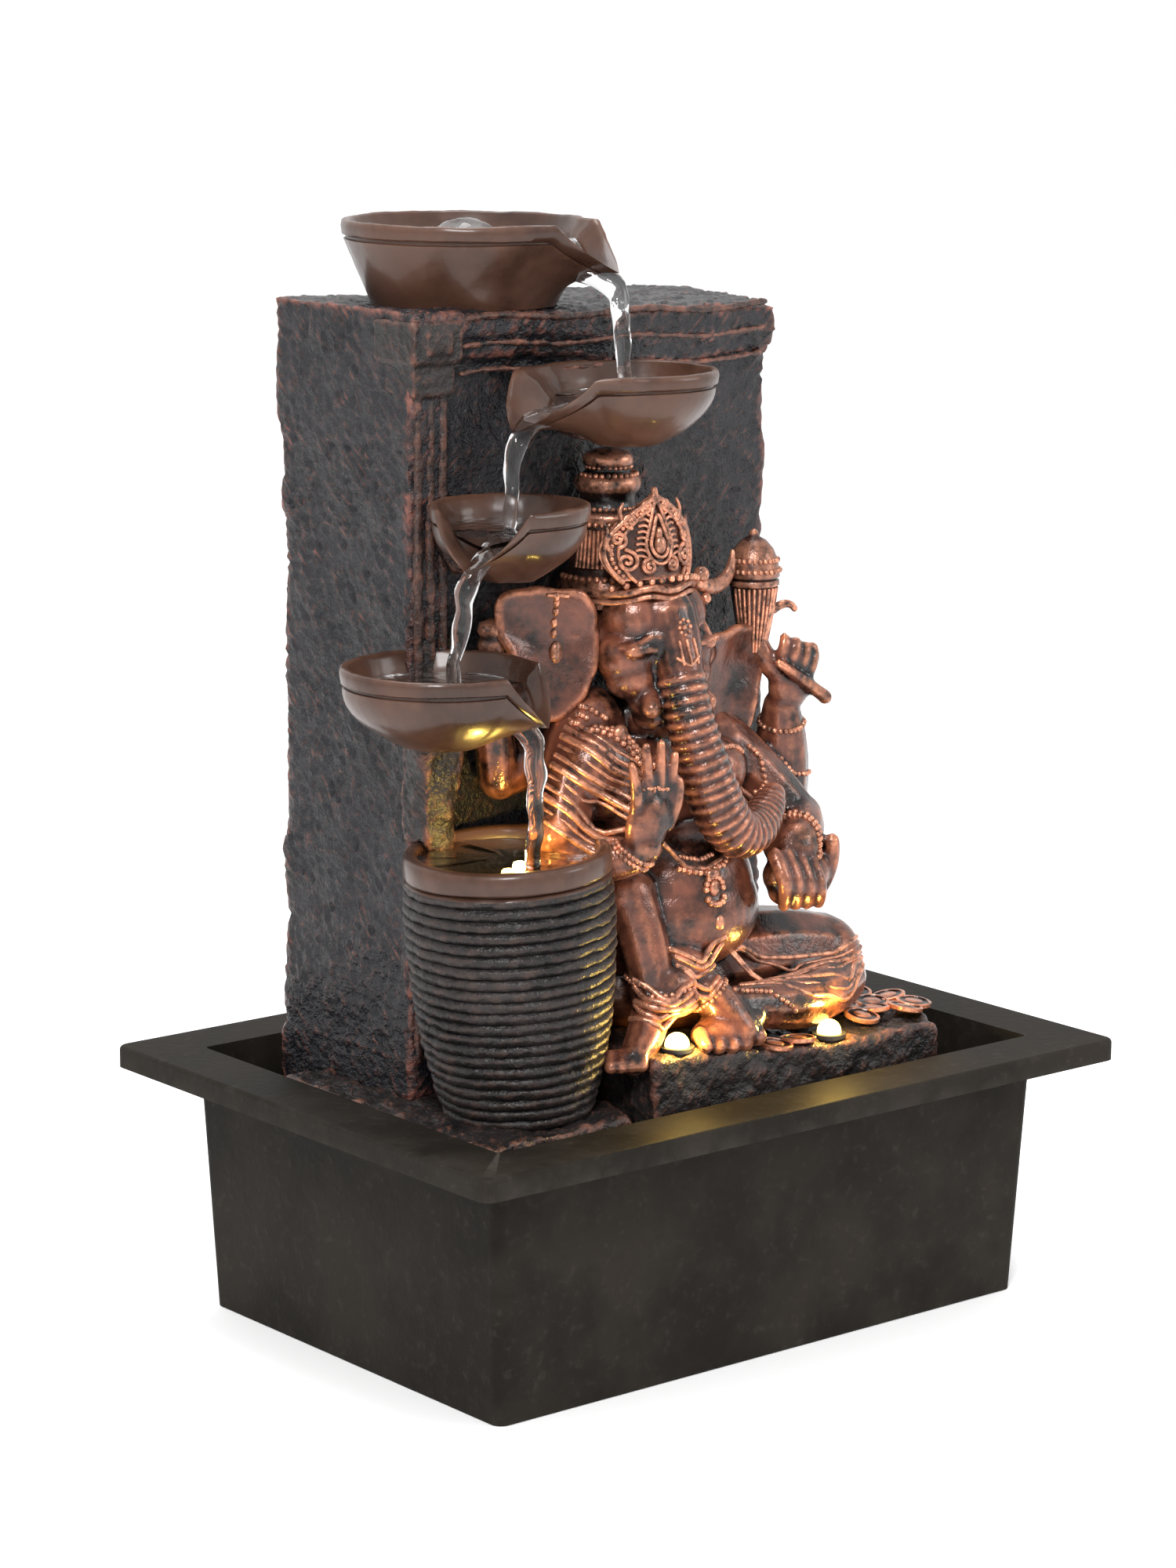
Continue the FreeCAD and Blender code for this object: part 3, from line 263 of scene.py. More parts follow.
def castMaterial(name, dark, light, brushed, edge=(0.5, 0.56), brushAmount=1.0, grain=(0.0006, 500.0),
                 patch=35.0, roughness=(0.45, 0.7), metallic=0.0, coat=0.0, paintedRecessShade=None, fineBrush=0.0,
                 specular=0.5):
    material = bpy.data.materials.new(name)
    material.use_nodes = True
    tree = material.node_tree
    shader = tree.nodes["Principled BSDF"]
    where = node(tree, "ShaderNodeTexCoord").outputs["Object"]
    patches = noiseAt(tree, where, patch, 5.0)
    fine = noiseAt(tree, where, grain[1], 3.0)
    colour = mixColours(tree, ramp(tree, patches, (0.38, 0.0), (0.6, 1.0)), dark, light)
    bumpy = node(tree, "ShaderNodeNewGeometry").outputs["Pointiness"]
    high = ramp(tree, bumpy, (edge[0], 0.0), (edge[1], 1.0))
    broken = ramp(tree, noiseAt(tree, where, patch * 4, 4.0), (0.32, 0.0), (0.62, 1.0))
    brush = multiply(tree, multiply(tree, high, broken), brushAmount)
    if fineBrush:
        strokes = ramp(tree, fine, (0.55, 0.0), (0.75, fineBrush))
        brush = node(tree, "ShaderNodeMath", {0: brush, 1: multiply(tree, strokes, broken)},
                     operation="MAXIMUM").outputs[0]
    colour = mixColours(tree, brush, colour, brushed)
    # painted shade: hollows, where pointiness is low, are darkened towards the given near-black colour,
    # standing in for the shade that gathers in recesses
    if paintedRecessShade:
        low = ramp(tree, bumpy, (paintedRecessShade[0], 1.0), (paintedRecessShade[1], 0.0))
        colour = mixColours(tree, low, colour, paintedRecessShade[2])
    tree.links.new(colour, shader.inputs["Base Color"])
    tree.links.new(ramp(tree, patches, (0.3, roughness[0]), (0.7, roughness[1])), shader.inputs["Roughness"])
    bump = node(tree, "ShaderNodeBump", {"Height": fine, "Distance": grain[0], "Strength": 1.0})
    tree.links.new(bump.outputs["Normal"], shader.inputs["Normal"])
    if metallic:
        tree.links.new(ramp(tree, brush, (0.0, metallic * 0.3), (0.8, metallic)), shader.inputs["Metallic"])
    shader.inputs["Coat Weight"].default_value = coat
    shader.inputs["Coat Roughness"].default_value = 0.12
    shader.inputs["Specular IOR Level"].default_value = specular
    return material


def plainMaterial(name, colour, roughness=0.5, metallic=0.0, glow=0.0, clear=0.0, ior=1.45):
    material = bpy.data.materials.new(name)
    material.use_nodes = True
    tree = material.node_tree
    shader = tree.nodes["Principled BSDF"]
    shader.inputs["Base Color"].default_value = (*colour, 1)
    shader.inputs["Metallic"].default_value = metallic
    shader.inputs["Transmission Weight"].default_value = clear
    shader.inputs["IOR"].default_value = ior
    where = node(tree, "ShaderNodeTexCoord").outputs["Object"]
    tree.links.new(ramp(tree, noiseAt(tree, where, 300.0), (0.3, roughness * 0.8), (0.7, roughness * 1.2)),
                   shader.inputs["Roughness"])
    if glow:
        shader.inputs["Emission Color"].default_value = (*colour, 1)
        shader.inputs["Emission Strength"].default_value = glow
    return material


basinMaterial = castMaterial("charcoalBasin", (0.0125, 0.0105, 0.0085), (0.022, 0.0185, 0.015),
                             (0.06, 0.053, 0.045), edge=(0.56, 0.7), grain=(0.0002, 260.0), patch=22.0,
                             roughness=(0.5, 0.66), fineBrush=0.3, specular=0.05)
slabMaterial = castMaterial("brushedStone", (0.0065, 0.007, 0.009), (0.015, 0.0145, 0.017),
                            (0.24, 0.085, 0.058), edge=(0.51, 0.565), brushAmount=0.95, grain=(0.002, 330.0),
                            roughness=(0.3, 0.46), fineBrush=0.26, specular=0.34)
rockMaterial = castMaterial("brushedRock", (0.008, 0.007, 0.007), (0.02, 0.0165, 0.0155), (0.26, 0.10, 0.065),
                            edge=(0.51, 0.58), brushAmount=0.8, grain=(0.0014, 330.0), roughness=(0.32, 0.5),
                            fineBrush=0.25, specular=0.36)
potMaterial = castMaterial("ribbedPotResin", (0.008, 0.007, 0.007), (0.021, 0.0175, 0.0165),
                           (0.17, 0.08, 0.052), edge=(0.52, 0.6), brushAmount=0.7, grain=(0.001, 340.0),
                           roughness=(0.32, 0.5), specular=0.3, fineBrush=0.1)
# painted shade: the bowls' hollows are darkened towards a near-black brown
bowlMaterial = castMaterial("terracottaBowl", (0.036, 0.0158, 0.0098), (0.078, 0.0355, 0.022),
                            (0.28, 0.14, 0.09), edge=(0.53, 0.66), brushAmount=0.6, grain=(0.0002, 120.0),
                            patch=26.0, roughness=(0.24, 0.42), coat=0.2,
                            paintedRecessShade=(0.40, 0.48, (0.02, 0.009, 0.007)), specular=0.3)
# painted shade: the figure's hollows are darkened towards near-black, on top of its dark base paint
figureMaterial = castMaterial("antiqueCopper", (0.010, 0.005, 0.0042), (0.165, 0.053, 0.031),
                              (0.92, 0.37, 0.205), edge=(0.504, 0.565), brushAmount=0.95,
                              grain=(0.00025, 600.0), patch=58.0, roughness=(0.14, 0.26), metallic=0.8,
                              coat=0.1, paintedRecessShade=(0.468, 0.506, (0.0035, 0.0025, 0.003)))
# painted shade: the crown's hollows are darkened towards near-black
crownMaterial = castMaterial("darkenedCopper", (0.008, 0.0045, 0.004), (0.07, 0.026, 0.017),
                             (0.82, 0.36, 0.22), edge=(0.505, 0.58), brushAmount=0.95,
                             grain=(0.00025, 600.0), patch=80.0, roughness=(0.2, 0.34), metallic=0.75,
                             paintedRecessShade=(0.45, 0.505, (0.004, 0.003, 0.0035)))
plasticMaterial = castMaterial("mouldedBlack", (0.010, 0.010, 0.011), (0.016, 0.016, 0.018),
                               (0.05, 0.05, 0.05), edge=(0.56, 0.7), grain=(0.0001, 900.0),
                               roughness=(0.4, 0.5))
waterMaterial = plainMaterial("runningWater", (1.0, 1.0, 1.0), roughness=0.015, clear=1.0, ior=1.33)
lensMaterial = plainMaterial("warmLens", (1.0, 0.68, 0.2), roughness=0.2, glow=9.0)
rubberMaterial = plainMaterial("blackRubber", (0.012, 0.012, 0.012), roughness=0.75)
hoseMaterial = plainMaterial("milkyVinyl", (0.75, 0.8, 0.8), roughness=0.2, clear=0.6)
steelMaterial = plainMaterial("groundSteel", (0.6, 0.6, 0.6), roughness=0.25, metallic=1.0)
ceramicMaterial = plainMaterial("whiteCeramic", (0.8, 0.78, 0.72), roughness=0.35)
foamMaterial = plainMaterial("filterFoam", (0.03, 0.03, 0.035), roughness=0.95)

cadFinish = {
    "basin_tub": basinMaterial, "rear_cover": plasticMaterial, "lamp_left": plasticMaterial,
    "lamp_right": plasticMaterial, "lamp_pot": plasticMaterial, "lamp_left_lens": lensMaterial,
    "lamp_right_lens": lensMaterial, "lamp_pot_lens": lensMaterial, "led_junction_box": plasticMaterial,
    "led_lead_left": rubberMaterial, "led_lead_right": rubberMaterial, "led_lead_pot": rubberMaterial,
    "riser_hose": hoseMaterial, "outlet_spigot": plasticMaterial, "hose_grommet": rubberMaterial,
    "pump_motor_block": plasticMaterial, "pump_volute": plasticMaterial, "pump_strainer": plasticMaterial,
    "shaft_bush_front": ceramicMaterial, "shaft_bush_rear": ceramicMaterial, "pump_shaft": steelMaterial,
    "pump_rotor": plasticMaterial, "flow_slider": plasticMaterial, "filter_pad": foamMaterial,
    "cable_gland": rubberMaterial, "suction_cups": rubberMaterial,
}
for cadName, finish in cadFinish.items():
    frame["nodes"][cadName].data.materials.clear()
    frame["nodes"][cadName].data.materials.append(finish)
print("materials made")


# slab, step and ledge: CAD shapes worked over as rough castings
stone = dict(slabVoxel=2.0, slabReach=1.15, slabGrain=4.2, rockVoxel=1.5, rockReach=1.5, rockGrain=9.0)

slab = cadCopy("backdrop_slab", "roughSlab")
voxelFuse(slab, stone["slabVoxel"], relax=1, factor=0.4)
coverLow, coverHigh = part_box("rear_cover")


def outerFace(at, normal):
    if normal.y > 0.6 and coverLow.x / mm - 6 < at.x < coverHigh.x / mm + 6 and at.z > coverLow.z / mm - 6:
        return at.z > coverHigh.z / mm + 6
    inside = -97 < at.x < 52 and 0 < at.y < 57 and at.z < 366
    return not inside and at.z > 8


roughen(slab, 1.3, 22.0, seed=1, keep=outerFace)
roughen(slab, stone["slabReach"], stone["slabGrain"], seed=2, keep=outerFace, sharp=True)
trim = dict(left=-108.0, right=-86.0, face=-17.0, capLow=358.5, capHigh=373.5, neckLow=347.5, flutes=3,
            fluteFoot=112.0)


def block(x0, y0, z0, x1, y1, z1, bevel):
    bpy.ops.mesh.primitive_cube_add(size=1, location=Vector((x0 + x1, y0 + y1, z0 + z1)) / 2 * mm)
    piece = bpy.context.object
    piece.scale = Vector((x1 - x0, y1 - y0, z1 - z0)) * mm
    settle(piece)
    modify(piece, "BEVEL", width=bevel * mm, segments=2)
    return piece


left, right, face = trim["left"], trim["right"], trim["face"]
trims = [block(left, face, trim["capLow"], right, 6, trim["capHigh"], 1.0),
         block(left + 5, face - 1.6, trim["capLow"] + 3.5, right - 5, 0, trim["capHigh"] - 3.5, 0.8),
         block(left + 1.5, face + 1.5, trim["neckLow"], right - 2, 4, trim["capLow"] - 1.2, 0.9)]
for i in range(trim["flutes"]):
    x = left + 5.0 + 5.4 * i
    trims.append(rod([(x, -12.6, trim["neckLow"]), (x, -12.9, 230), (x, -12.6, trim["fluteFoot"])], 1.9))
# wavy edges of the cornice
for height, depth, radius in ((373.5, -14.9, 1.4), (364, -14.4, 1.1), (354.5, -12.2, 1.1)):
    knots = [(right + 2 + 13.9 * i, depth + 0.6 * math.sin(i * 2.1),
              height + 1.1 * math.sin(i * 1.4) - 0.2 * i) for i in range(11)]
    trims.append(rod(knots, radius))
trimPiece = joinAll("slabTrim", trims)
voxelFuse(trimPiece, 1.0, relax=2)
roughen(trimPiece, 0.45, 4.0, seed=8)
place(smooth(trimPiece), "sculpture", "slab_resin", rockMaterial)
smooth(slab)
place(slab, "sculpture", "slab_resin", slabMaterial, "backdrop_slab")

for cadName, newName in (("plinth", "rockStep"), ("base_ledge", "rockLedge"),
                         ("stone_brackets", "rockBrackets")):
    rock = cadCopy(cadName, newName)
    voxelFuse(rock, stone["rockVoxel"], relax=4)
    roughen(rock, stone["rockReach"], stone["rockGrain"], seed=5, keep=lambda at, normal: at.z > 88)
    roughen(rock, 0.8, 3.0, seed=6, keep=lambda at, normal: at.z > 88, sharp=True)
    smooth(rock)
    place(rock, "sculpture", "slab_resin", rockMaterial, cadName)
print("stonework made")


# ribbed pot
pot = dict(centre=(-84.5, -47.0), foot=98.0, height=95.0, lean=3.5, ribs=21, ribReach=1.7, baseRadius=25.5,
           bellyRadius=36.4, mouthRadius=35.4, lip=8.5, dish=15.0)


def potRadius(height):
    share = height / pot["height"]
    swell = math.sin(min(share / 0.72, 1) * math.pi / 2) ** 0.85
    radius = pot["baseRadius"] + (pot["bellyRadius"] - pot["baseRadius"]) * swell
    if share > 0.72:
        radius -= (pot["bellyRadius"] - pot["mouthRadius"]) * ((share - 0.72) / 0.28) ** 1.4
    return radius


def leaned(x, y, z):  # the pot leans to the left about its foot
    turn = math.radians(pot["lean"])
    dx, dz = x - pot["centre"][0], z - pot["foot"]
    return (pot["centre"][0] + dx * math.cos(turn) - dz * math.sin(turn), y,
            pot["foot"] + dz * math.cos(turn) + dx * math.sin(turn))


def makePot():
    ribTop = pot["height"] - pot["lip"]
    profile = [(0.0, 0.0), (10.0, 0.0), (pot["baseRadius"] - 1.5, 0.0)]
    stepsPerRib = 7
    for i in range(pot["ribs"] * stepsPerRib + 1):
        height = ribTop * i / (pot["ribs"] * stepsPerRib)
        bulge = abs(math.sin(math.pi * i / stepsPerRib)) ** 0.55
        profile.append((potRadius(height) - 0.9 + pot["ribReach"] * bulge, height))
    top, mouth = pot["height"], pot["mouthRadius"]
    profile += [(mouth + 0.9, ribTop + 0.5), (mouth + 1.2, ribTop + 1.5), (mouth + 1.1, top - 2.0),
                (mouth + 0.5, top - 0.6), (mouth - 0.6, top), (mouth - 3.0, top), (mouth - 4.0, top - 0.8),
                (mouth - 4.6, top - 4.0), (mouth - 5.5, top - 10.0), (mouth - 9.0, top - pot["dish"] + 0.5),
                (12.0, top - pot["dish"] + 0.2), (5.4, top - pot["dish"] + 0.2),
                (5.4, top - pot["dish"] - 3.9), (0.0, top - pot["dish"] - 3.9)]
    piece = turned("ribbedPot", pot["centre"], [(r, z + pot["foot"]) for r, z in profile], 120)

    def ropey(at, normal):
        return pot["foot"] + 1 < at.z < pot["foot"] + ribTop

    roughen(piece, 0.55, 5.0, seed=9, keep=ropey)
    roughen(piece, 0.5, 30.0, seed=3)
    for point in piece.data.vertices:
        point.co = Vector(leaned(*(point.co / mm))) * mm
    return smooth(piece)


potPiece = makePot()
place(potPiece, "sculpture", "pot_resin", potMaterial, "ribbed_pot")
potPiece.data.materials.append(bowlMaterial)  # the lip and dish are brown like the bowls
lipFoot = pot["foot"] + pot["height"] - pot["lip"] - 2
for face in potPiece.data.polygons:
    if face.center.z / mm > lipFoot + (face.center.x / mm - pot["centre"][0]) * 0.06 + 0.8:
        face.material_index = 1
print("pot made")


# bowls: turned shells whose rims are drawn out and cut into pouring lips
bowls = {
    "bowl_1": dict(centre=(-57, 20), rim=405, radius=43.5, base=33, height=30.5, bulge=0.0, spout=-63,
                   reach=17, drop=17, open=34, notch=22, band=6.0, level=-6.5),
    "bowl_2": dict(centre=(-31, -40), rim=355.5, radius=31.5, base=11, height=27, bulge=5.0, spout=-176,
                   reach=24, drop=19, open=62, notch=30, band=5.5, level=-9.0),
    "bowl_3": dict(centre=(-84.5, -41), rim=312.5, radius=27.5, base=9, height=27, bulge=5.0, spout=-150,
                   reach=11, drop=20, open=58, notch=34, band=6.0, level=-8.0),
    "bowl_4": dict(centre=(-113, -39), rim=258.5, radius=34.5, base=14, height=28, bulge=5.5, spout=-57,
                   reach=5, drop=20, open=52, notch=30, band=6.0, level=-7.0),
}
bowlWall = 3.0


def lipShape(spec, turn):  # how far the rim is drawn out, and how far it is cut down, at this turn
    away = abs((math.degrees(turn) - spec["spout"] + 180) % 360 - 180)
    drawn = max(0.0, 1 - away / spec["open"]) ** 1.25
    cut = max(0.0, 1 - away / spec["notch"]) ** 0.8
    return drawn, cut


def bowlPlace(spec, turn, radius, rise):  # rise is 0 at the foot, 1 at the rim
    drawn, cut = lipShape(spec, turn)
    share = max(rise, 0.0) ** 1.7
    radius = radius + share * drawn * spec["reach"] * (radius / spec["radius"])
    height = spec["rim"] - spec["height"] * (1 - rise) - share * cut * spec["drop"]
    return spec["centre"][0] + radius * math.cos(turn), spec["centre"][1] + radius * math.sin(turn), height


def bowlProfile(spec):
    rim, base, height, band = spec["radius"], spec["base"], spec["height"], spec["band"]
    profile = [(0.0, 0.0), (base * 0.6, 0.0), (base, 0.02)]
    bandLow = 1 - band / height
    for i in range(1, 11):
        share = i / 10
        profile.append((base + (rim - 0.9 - base) * share + spec["bulge"] * math.sin(share * math.pi) ** 0.9,
                        0.02 + (bandLow - 0.05) * share))
    profile += [(rim - 1.7, bandLow - 0.015), (rim - 1.7, bandLow + 0.005), (rim - 0.2, bandLow + 0.03),
                (rim, bandLow + 0.08), (rim + 0.2, 0.93), (rim - 0.1, 0.98), (rim - 0.9, 1.0),
                (rim - 1.8, 1.0), (rim - bowlWall + 0.3, 0.975), (rim - bowlWall, 0.93)]
    floor = 4.0 / height
    for i in range(9, 0, -1):
        share = i / 10
        swell = spec["bulge"] * math.sin(share * math.pi) ** 0.9
        profile.append((base + (rim - bowlWall - base) * share + swell * 0.8 - bowlWall * 0.6,
                        floor + (0.93 - floor) * share ** 1.15))
    profile += [(base * 0.6, floor), (0.0, floor)]
    return profile


def makeBowl(cadName, spec):
    profile = bowlProfile(spec)

    def shape(u, v):
        at = v * (len(profile) - 1)
        low = min(int(at), len(profile) - 2)
        share = at - low
        radius = profile[low][0] * (1 - share) + profile[low + 1][0] * share
        rise = profile[low][1] * (1 - share) + profile[low + 1][1] * share
        return bowlPlace(spec, 2 * math.pi * u, radius, rise)

    piece = wrapGrid(cadName.replace("_", "") + "Cast", 160, len(profile) - 1, shape)
    roughen(piece, 0.5, 16.0, seed=spec["rim"])
    roughen(piece, 0.12, 2.5, seed=4)
    smooth(piece, 50)
    return place(piece, "sculpture", "bowl_resin", bowlMaterial, cadName)


def makePool(cadName, spec):  # water lying in the bowl: a thin sheet at its water level
    level = 1 + spec["level"] / spec["height"]
    profile = bowlProfile(spec)
    inner = [point for point in profile[len(profile) // 2:] if point[1] < level]

    def shape(u, v):
        turn = 2 * math.pi * u
        cut = lipShape(spec, turn)[1]
        radius, rise = inner[0]
        ripple = 0.35 * noise.noise(Vector((math.cos(turn), math.sin(turn), spec["rim"])) * 5 * v)
        x, y, z = bowlPlace(spec, turn, (radius - 0.4) * v, rise * v ** 2)
        z = spec["rim"] + spec["level"] - cut * v ** 6 * 4.0 + ripple
        return x, y, z

    piece = wrapGrid(cadName.replace("_", "") + "Water", 72, 14, shape)
    modify(piece, "SOLIDIFY", thickness=1.6 * mm, offset=-1.0)
    smooth(piece)
    return place(piece, "sculpture", None, waterMaterial)


for cadName, spec in bowls.items():
    makeBowl(cadName, spec)
    makePool(cadName, spec)
print("bowls made")


# running water
streams = {
    "streamTop": [((-41, -11, 390), 4.5), ((-33, -24, 388), 4.6), ((-30, -31, 383), 4.2),
                  ((-30, -35, 374), 3.4), ((-31, -37, 362), 2.7), ((-31, -38, 350), 2.4)],
    "streamSecond": [((-60, -42, 342), 3.6), ((-75, -44, 341), 4.0), ((-82, -45, 338), 3.8),
                     ((-86, -45, 329), 3.2), ((-87, -45, 316), 2.6), ((-88, -45, 305), 2.4)],
    "streamThird": [((-98, -50, 300), 3.0), ((-112, -58, 295), 3.4), ((-117, -59, 288), 3.4),
                    ((-118, -57, 275), 3.0), ((-118, -54, 262), 2.6), ((-118, -52, 251), 2.6)],
    "streamFourth": [((-103, -53, 244), 3.4), ((-96, -62, 240), 3.6), ((-92.5, -65, 233), 3.4),
                     ((-91, -64, 220), 3.0), ((-90, -62, 205), 2.7), ((-89.5, -60, 190), 3.2)],
}


def makeStream(name, run):
    piece = rod([point for point, radius in run], [radius for point, radius in run], steps=14, sides=5)
    for point in piece.data.vertices:
        at = point.co / (7.0 * mm)
        twist = noise.noise_vector(Vector((at.x, at.y, at.z * 0.8)))
        point.co += Vector((twist.x, twist.y * 0.7, 0)) * 1.9 * mm
    voxelFuse(piece, 0.55, relax=3)
    smooth(piece)
    piece.name = name
    return place(piece, "sculpture", None, waterMaterial)


for name, run in streams.items():
    makeStream(name, run)

potWater = turned("potWater", pot["centre"],
                  [(0, 190.2), (10, 190.3), (20, 190.1), (31.2, 190.2), (31.0, 188.8), (0, 188.8)], 64)
for point in potWater.data.vertices:
    x, y, z = leaned(*(point.co / mm))
    point.co = Vector((x, y, 189.9 + (0 if point.co.z > 189.5 * mm else -1.4)
                       + 0.5 * noise.noise(point.co / (8 * mm)))) * mm
place(smooth(potWater), "sculpture", None, waterMaterial)

bubble = ball((-57, 20, 398.5), (11, 11, 6.5), segments=28)
roughen(bubble, 0.9, 7.0, seed=8)
bubble.name = "topBubble"
place(smooth(bubble), "sculpture", None, waterMaterial)
print("water made")

# seated figure: masses fused into one skin, then dressed with its ornaments
figure = dict(bodyVoxel=1.05, headVoxel=0.8, earVoxel=0.9, trunkRings=27)


def landOn(skin, point, lift=0.0):  # the nearest point of the skin, raised by lift
    nearest = skin.closest_point_on_mesh(Vector(point) * mm)
    return (nearest[1] + nearest[2] * lift * mm) / mm


def beadString(skin, points, size, gap=1.05, lift=0.2):
    places = []
    for a, b in zip(points, points[1:]):
        a, b = Vector(a), Vector(b)
        count = max(2, round((b - a).length / (size * 2 * gap)))
        places += [a.lerp(b, i / count) for i in range(count)]
    return [ball(landOn(skin, place, lift), size, segments=8) for place in places]


def cordOn(skin, points, radius, lift=0.2):
    fine = []
    for a, b in zip(points, points[1:]):
        fine += [Vector(a).lerp(Vector(b), i / 4) for i in range(4)]
    fine.append(Vector(points[-1]))
    return rod([landOn(skin, place, lift) for place in fine], radius, steps=2, sides=2)


def bracelet(skin, centre, along, radius, size, rows=1):
    parts = []
    along = Vector(along).normalized()
    side = along.orthogonal().normalized()
    other = along.cross(side)
    for row in range(rows):
        for i in range(26):
            turn = 2 * math.pi * i / 26
            outward = (side * math.cos(turn) + other * math.sin(turn)) * radius
            at = Vector(centre) + along * (row - (rows - 1) / 2) * size * 2 + outward
            parts.append(ball(landOn(skin, at, 0.1), size, segments=8))
    return parts


def makeBody():
    parts = [
        ball((-9, -40, 167), (31, 28, 27), segments=40),  # belly
        ball((-9, -45, 160), (31, 25, 23), segments=40),
        ball((-12, -33, 205), (34, 19, 25), segments=32),  # chest
        ball((-26, -40, 212), (14, 14, 14)), ball((8, -40, 208), (14, 14, 13)),
        ball((-18, -36, 232), (18, 16, 12)),  # neck
        ball((4, -32, 130), (48, 22, 19), segments=32),  # seat
        rod([(12, -36, 134), (36, -40, 137), (59, -43, 132)], [19, 19, 16]),  # right thigh
        ball((61, -45, 130), (15, 15, 17)),  # right knee
        # right shin
        rod([(63, -50, 124), (46, -60, 122), (20, -67, 123), (-4, -68, 127)], [12, 12, 9.5, 7.5]),
        rod([(-26, -36, 150), (-38, -48, 168)], [16, 12]),  # left thigh
        ball((-41, -52, 171), (11.5, 11, 10)),
        rod([(-41, -54, 170), (-37, -60, 152), (-35, -61, 134)], [9.5, 9.5, 8]),  # left shin
        rod([(-34, -60, 132), (-42, -66, 121), (-52, -71, 116)], [8, 7.5, 6]),  # left foot
        rod([(-16, -62, 137), (-11, -69, 129), (-6, -76, 120)], [7.5, 9, 6]),  # crossed foot
        ball((-9, -72, 121), (17, 8, 6.5), turn=(0, -6, 0)),
        # arms
        rod([(-42, -32, 229), (-57, -38, 214), (-66, -46, 195)], [14, 14.5, 10.5]),
        ball((-47, -45, 214), (18, 13, 17), turn=(0, 30, 0)),  # draped shawl
        rod([(-64, -48, 191), (-57, -58, 184), (-50, -67, 188)], [10, 9, 6.5]),
        rod([(18, -32, 214), (34, -38, 200), (44, -46, 186)], [14, 13, 10.5]),
        rod([(45, -47, 186), (40, -56, 184), (31, -63, 182)], [10, 9.5, 7.5]),
        rod([(18, -26, 214), (36, -29, 198), (49, -30, 193)], [12, 13, 12.5]),
        rod([(50, -30, 193), (50, -33, 209), (46.5, -36, 226)], [12, 11.5, 7]),
        rod([(-48, -22, 222), (-64, -22, 216), (-74, -22, 212)], [11, 10, 8]),
        rod([(-74, -22, 212), (-78, -23, 228), (-78, -24, 246)], [8, 7.5, 5]),
        # waist cloth and the folds of the leg cloth
        ball((-20, -62, 144), (13, 8, 7), turn=(0, 25, 0)),
        ball((-30, -62, 139), (12, 10, 7)), ball((-32, -64, 133), (13, 10.5, 6)),
    ]
    # raised hand: palm, four fingers and a thumb
    parts += [ball((-46, -70, 199), (9, 5.5, 13), turn=(8, 6, 0)), ball((-47, -70, 192), (7, 5.5, 7))]
    for i in range(4):
        x = -52.5 + 4.5 * i
        top = (222, 228, 228.5, 224)[i]
        bend = (-2.6, -1.2, 0.4, 1.6)[i]
        parts.append(rod([(x + 1, -70.5, 205), (x + bend * 0.4, -74, 214), (x + bend, -72.0 - 0.8 * i, top)],
                         [2.5, 2.25, 1.7], sides=2))
    parts.append(rod([(-38, -71, 199), (-34.5, -73.5, 207), (-35.5, -74, 214)], [3.2, 2.8, 2.3], sides=2))
    # cupped hand
    parts += [ball((30, -61, 180), (11, 10, 8)), ball((32, -62, 170), (15, 9, 9.5)),
              ball((30, -64, 164), (12, 8, 6))]
    for i in range(4):
        x = 15.5 + 5.6 * i
        parts.append(rod([(x, -68, 180 - i), (x - 0.6, -73.5, 174 - i), (x + 1.6, -73, 166 - i),
                          (x + 5, -68, 160.5 - 0.4 * i)],
                         [2.9, 3.1, 2.9, 2.4], sides=2))
    parts.append(rod([(42, -62, 163), (47, -65, 171), (44.5, -67, 181)], [4.2, 3.8, 3.0], sides=2))
    # hand that holds the short stick
    parts += [ball((48.5, -38, 234), (9, 6, 9.5)), ball((47, -38, 243), (7, 5.5, 5))]
    for x, y, z in ((42, -41, 250.5), (46, -43, 249), (50, -44, 247), (53.5, -44, 244)):
        parts.append(rod([(x, y + 3, z - 8), (x + 0.5, y - 1.5, z - 2), (x + 2, y + 1, z + 2)],
                         [2.3, 2.4, 1.9], sides=2))
    parts.append(rod([(54, -40, 236), (57.5, -43, 243), (55.5, -43, 248)], [2.6, 2.5, 2.1], sides=2))
    parts.append(rod([(38, -44, 244), (49, -45, 237), (60, -44, 229.8)], [1.8, 2.3, 2.8], sides=2))
    parts.append(ball((61, -44, 229), (2.8, 2.8, 2.8)))
    # foot of the emblem
    parts.append(rod([(36.8, -31, 252), (38, -34, 245), (43, -38, 239)], [5.2, 4.6, 4.2]))
    parts += [ball((-78, -25, 248), (6, 5, 7))]
    # toes
    for i in range(5):
        x, z = -25 + 6.1 * i, (117.5, 116.5, 116, 116, 117.5)[i]
        parts.append(rod([(x + 1, -74, z + 3.5), (x, -78, z)], [3.1, 2.9 + 0.25 * i], sides=2))
        if i < 4:
            y = -75 + 1.6 * (i - 1)
            parts.append(rod([(-50 - 3.4 * i, y + 4, 117.5), (-53 - 3.4 * i, y, 115)], [2.9, 2.7], sides=2))
    skin = joinAll("figureBody", parts)
    voxelFuse(skin, figure["bodyVoxel"], relax=4, factor=0.45)
    return skin


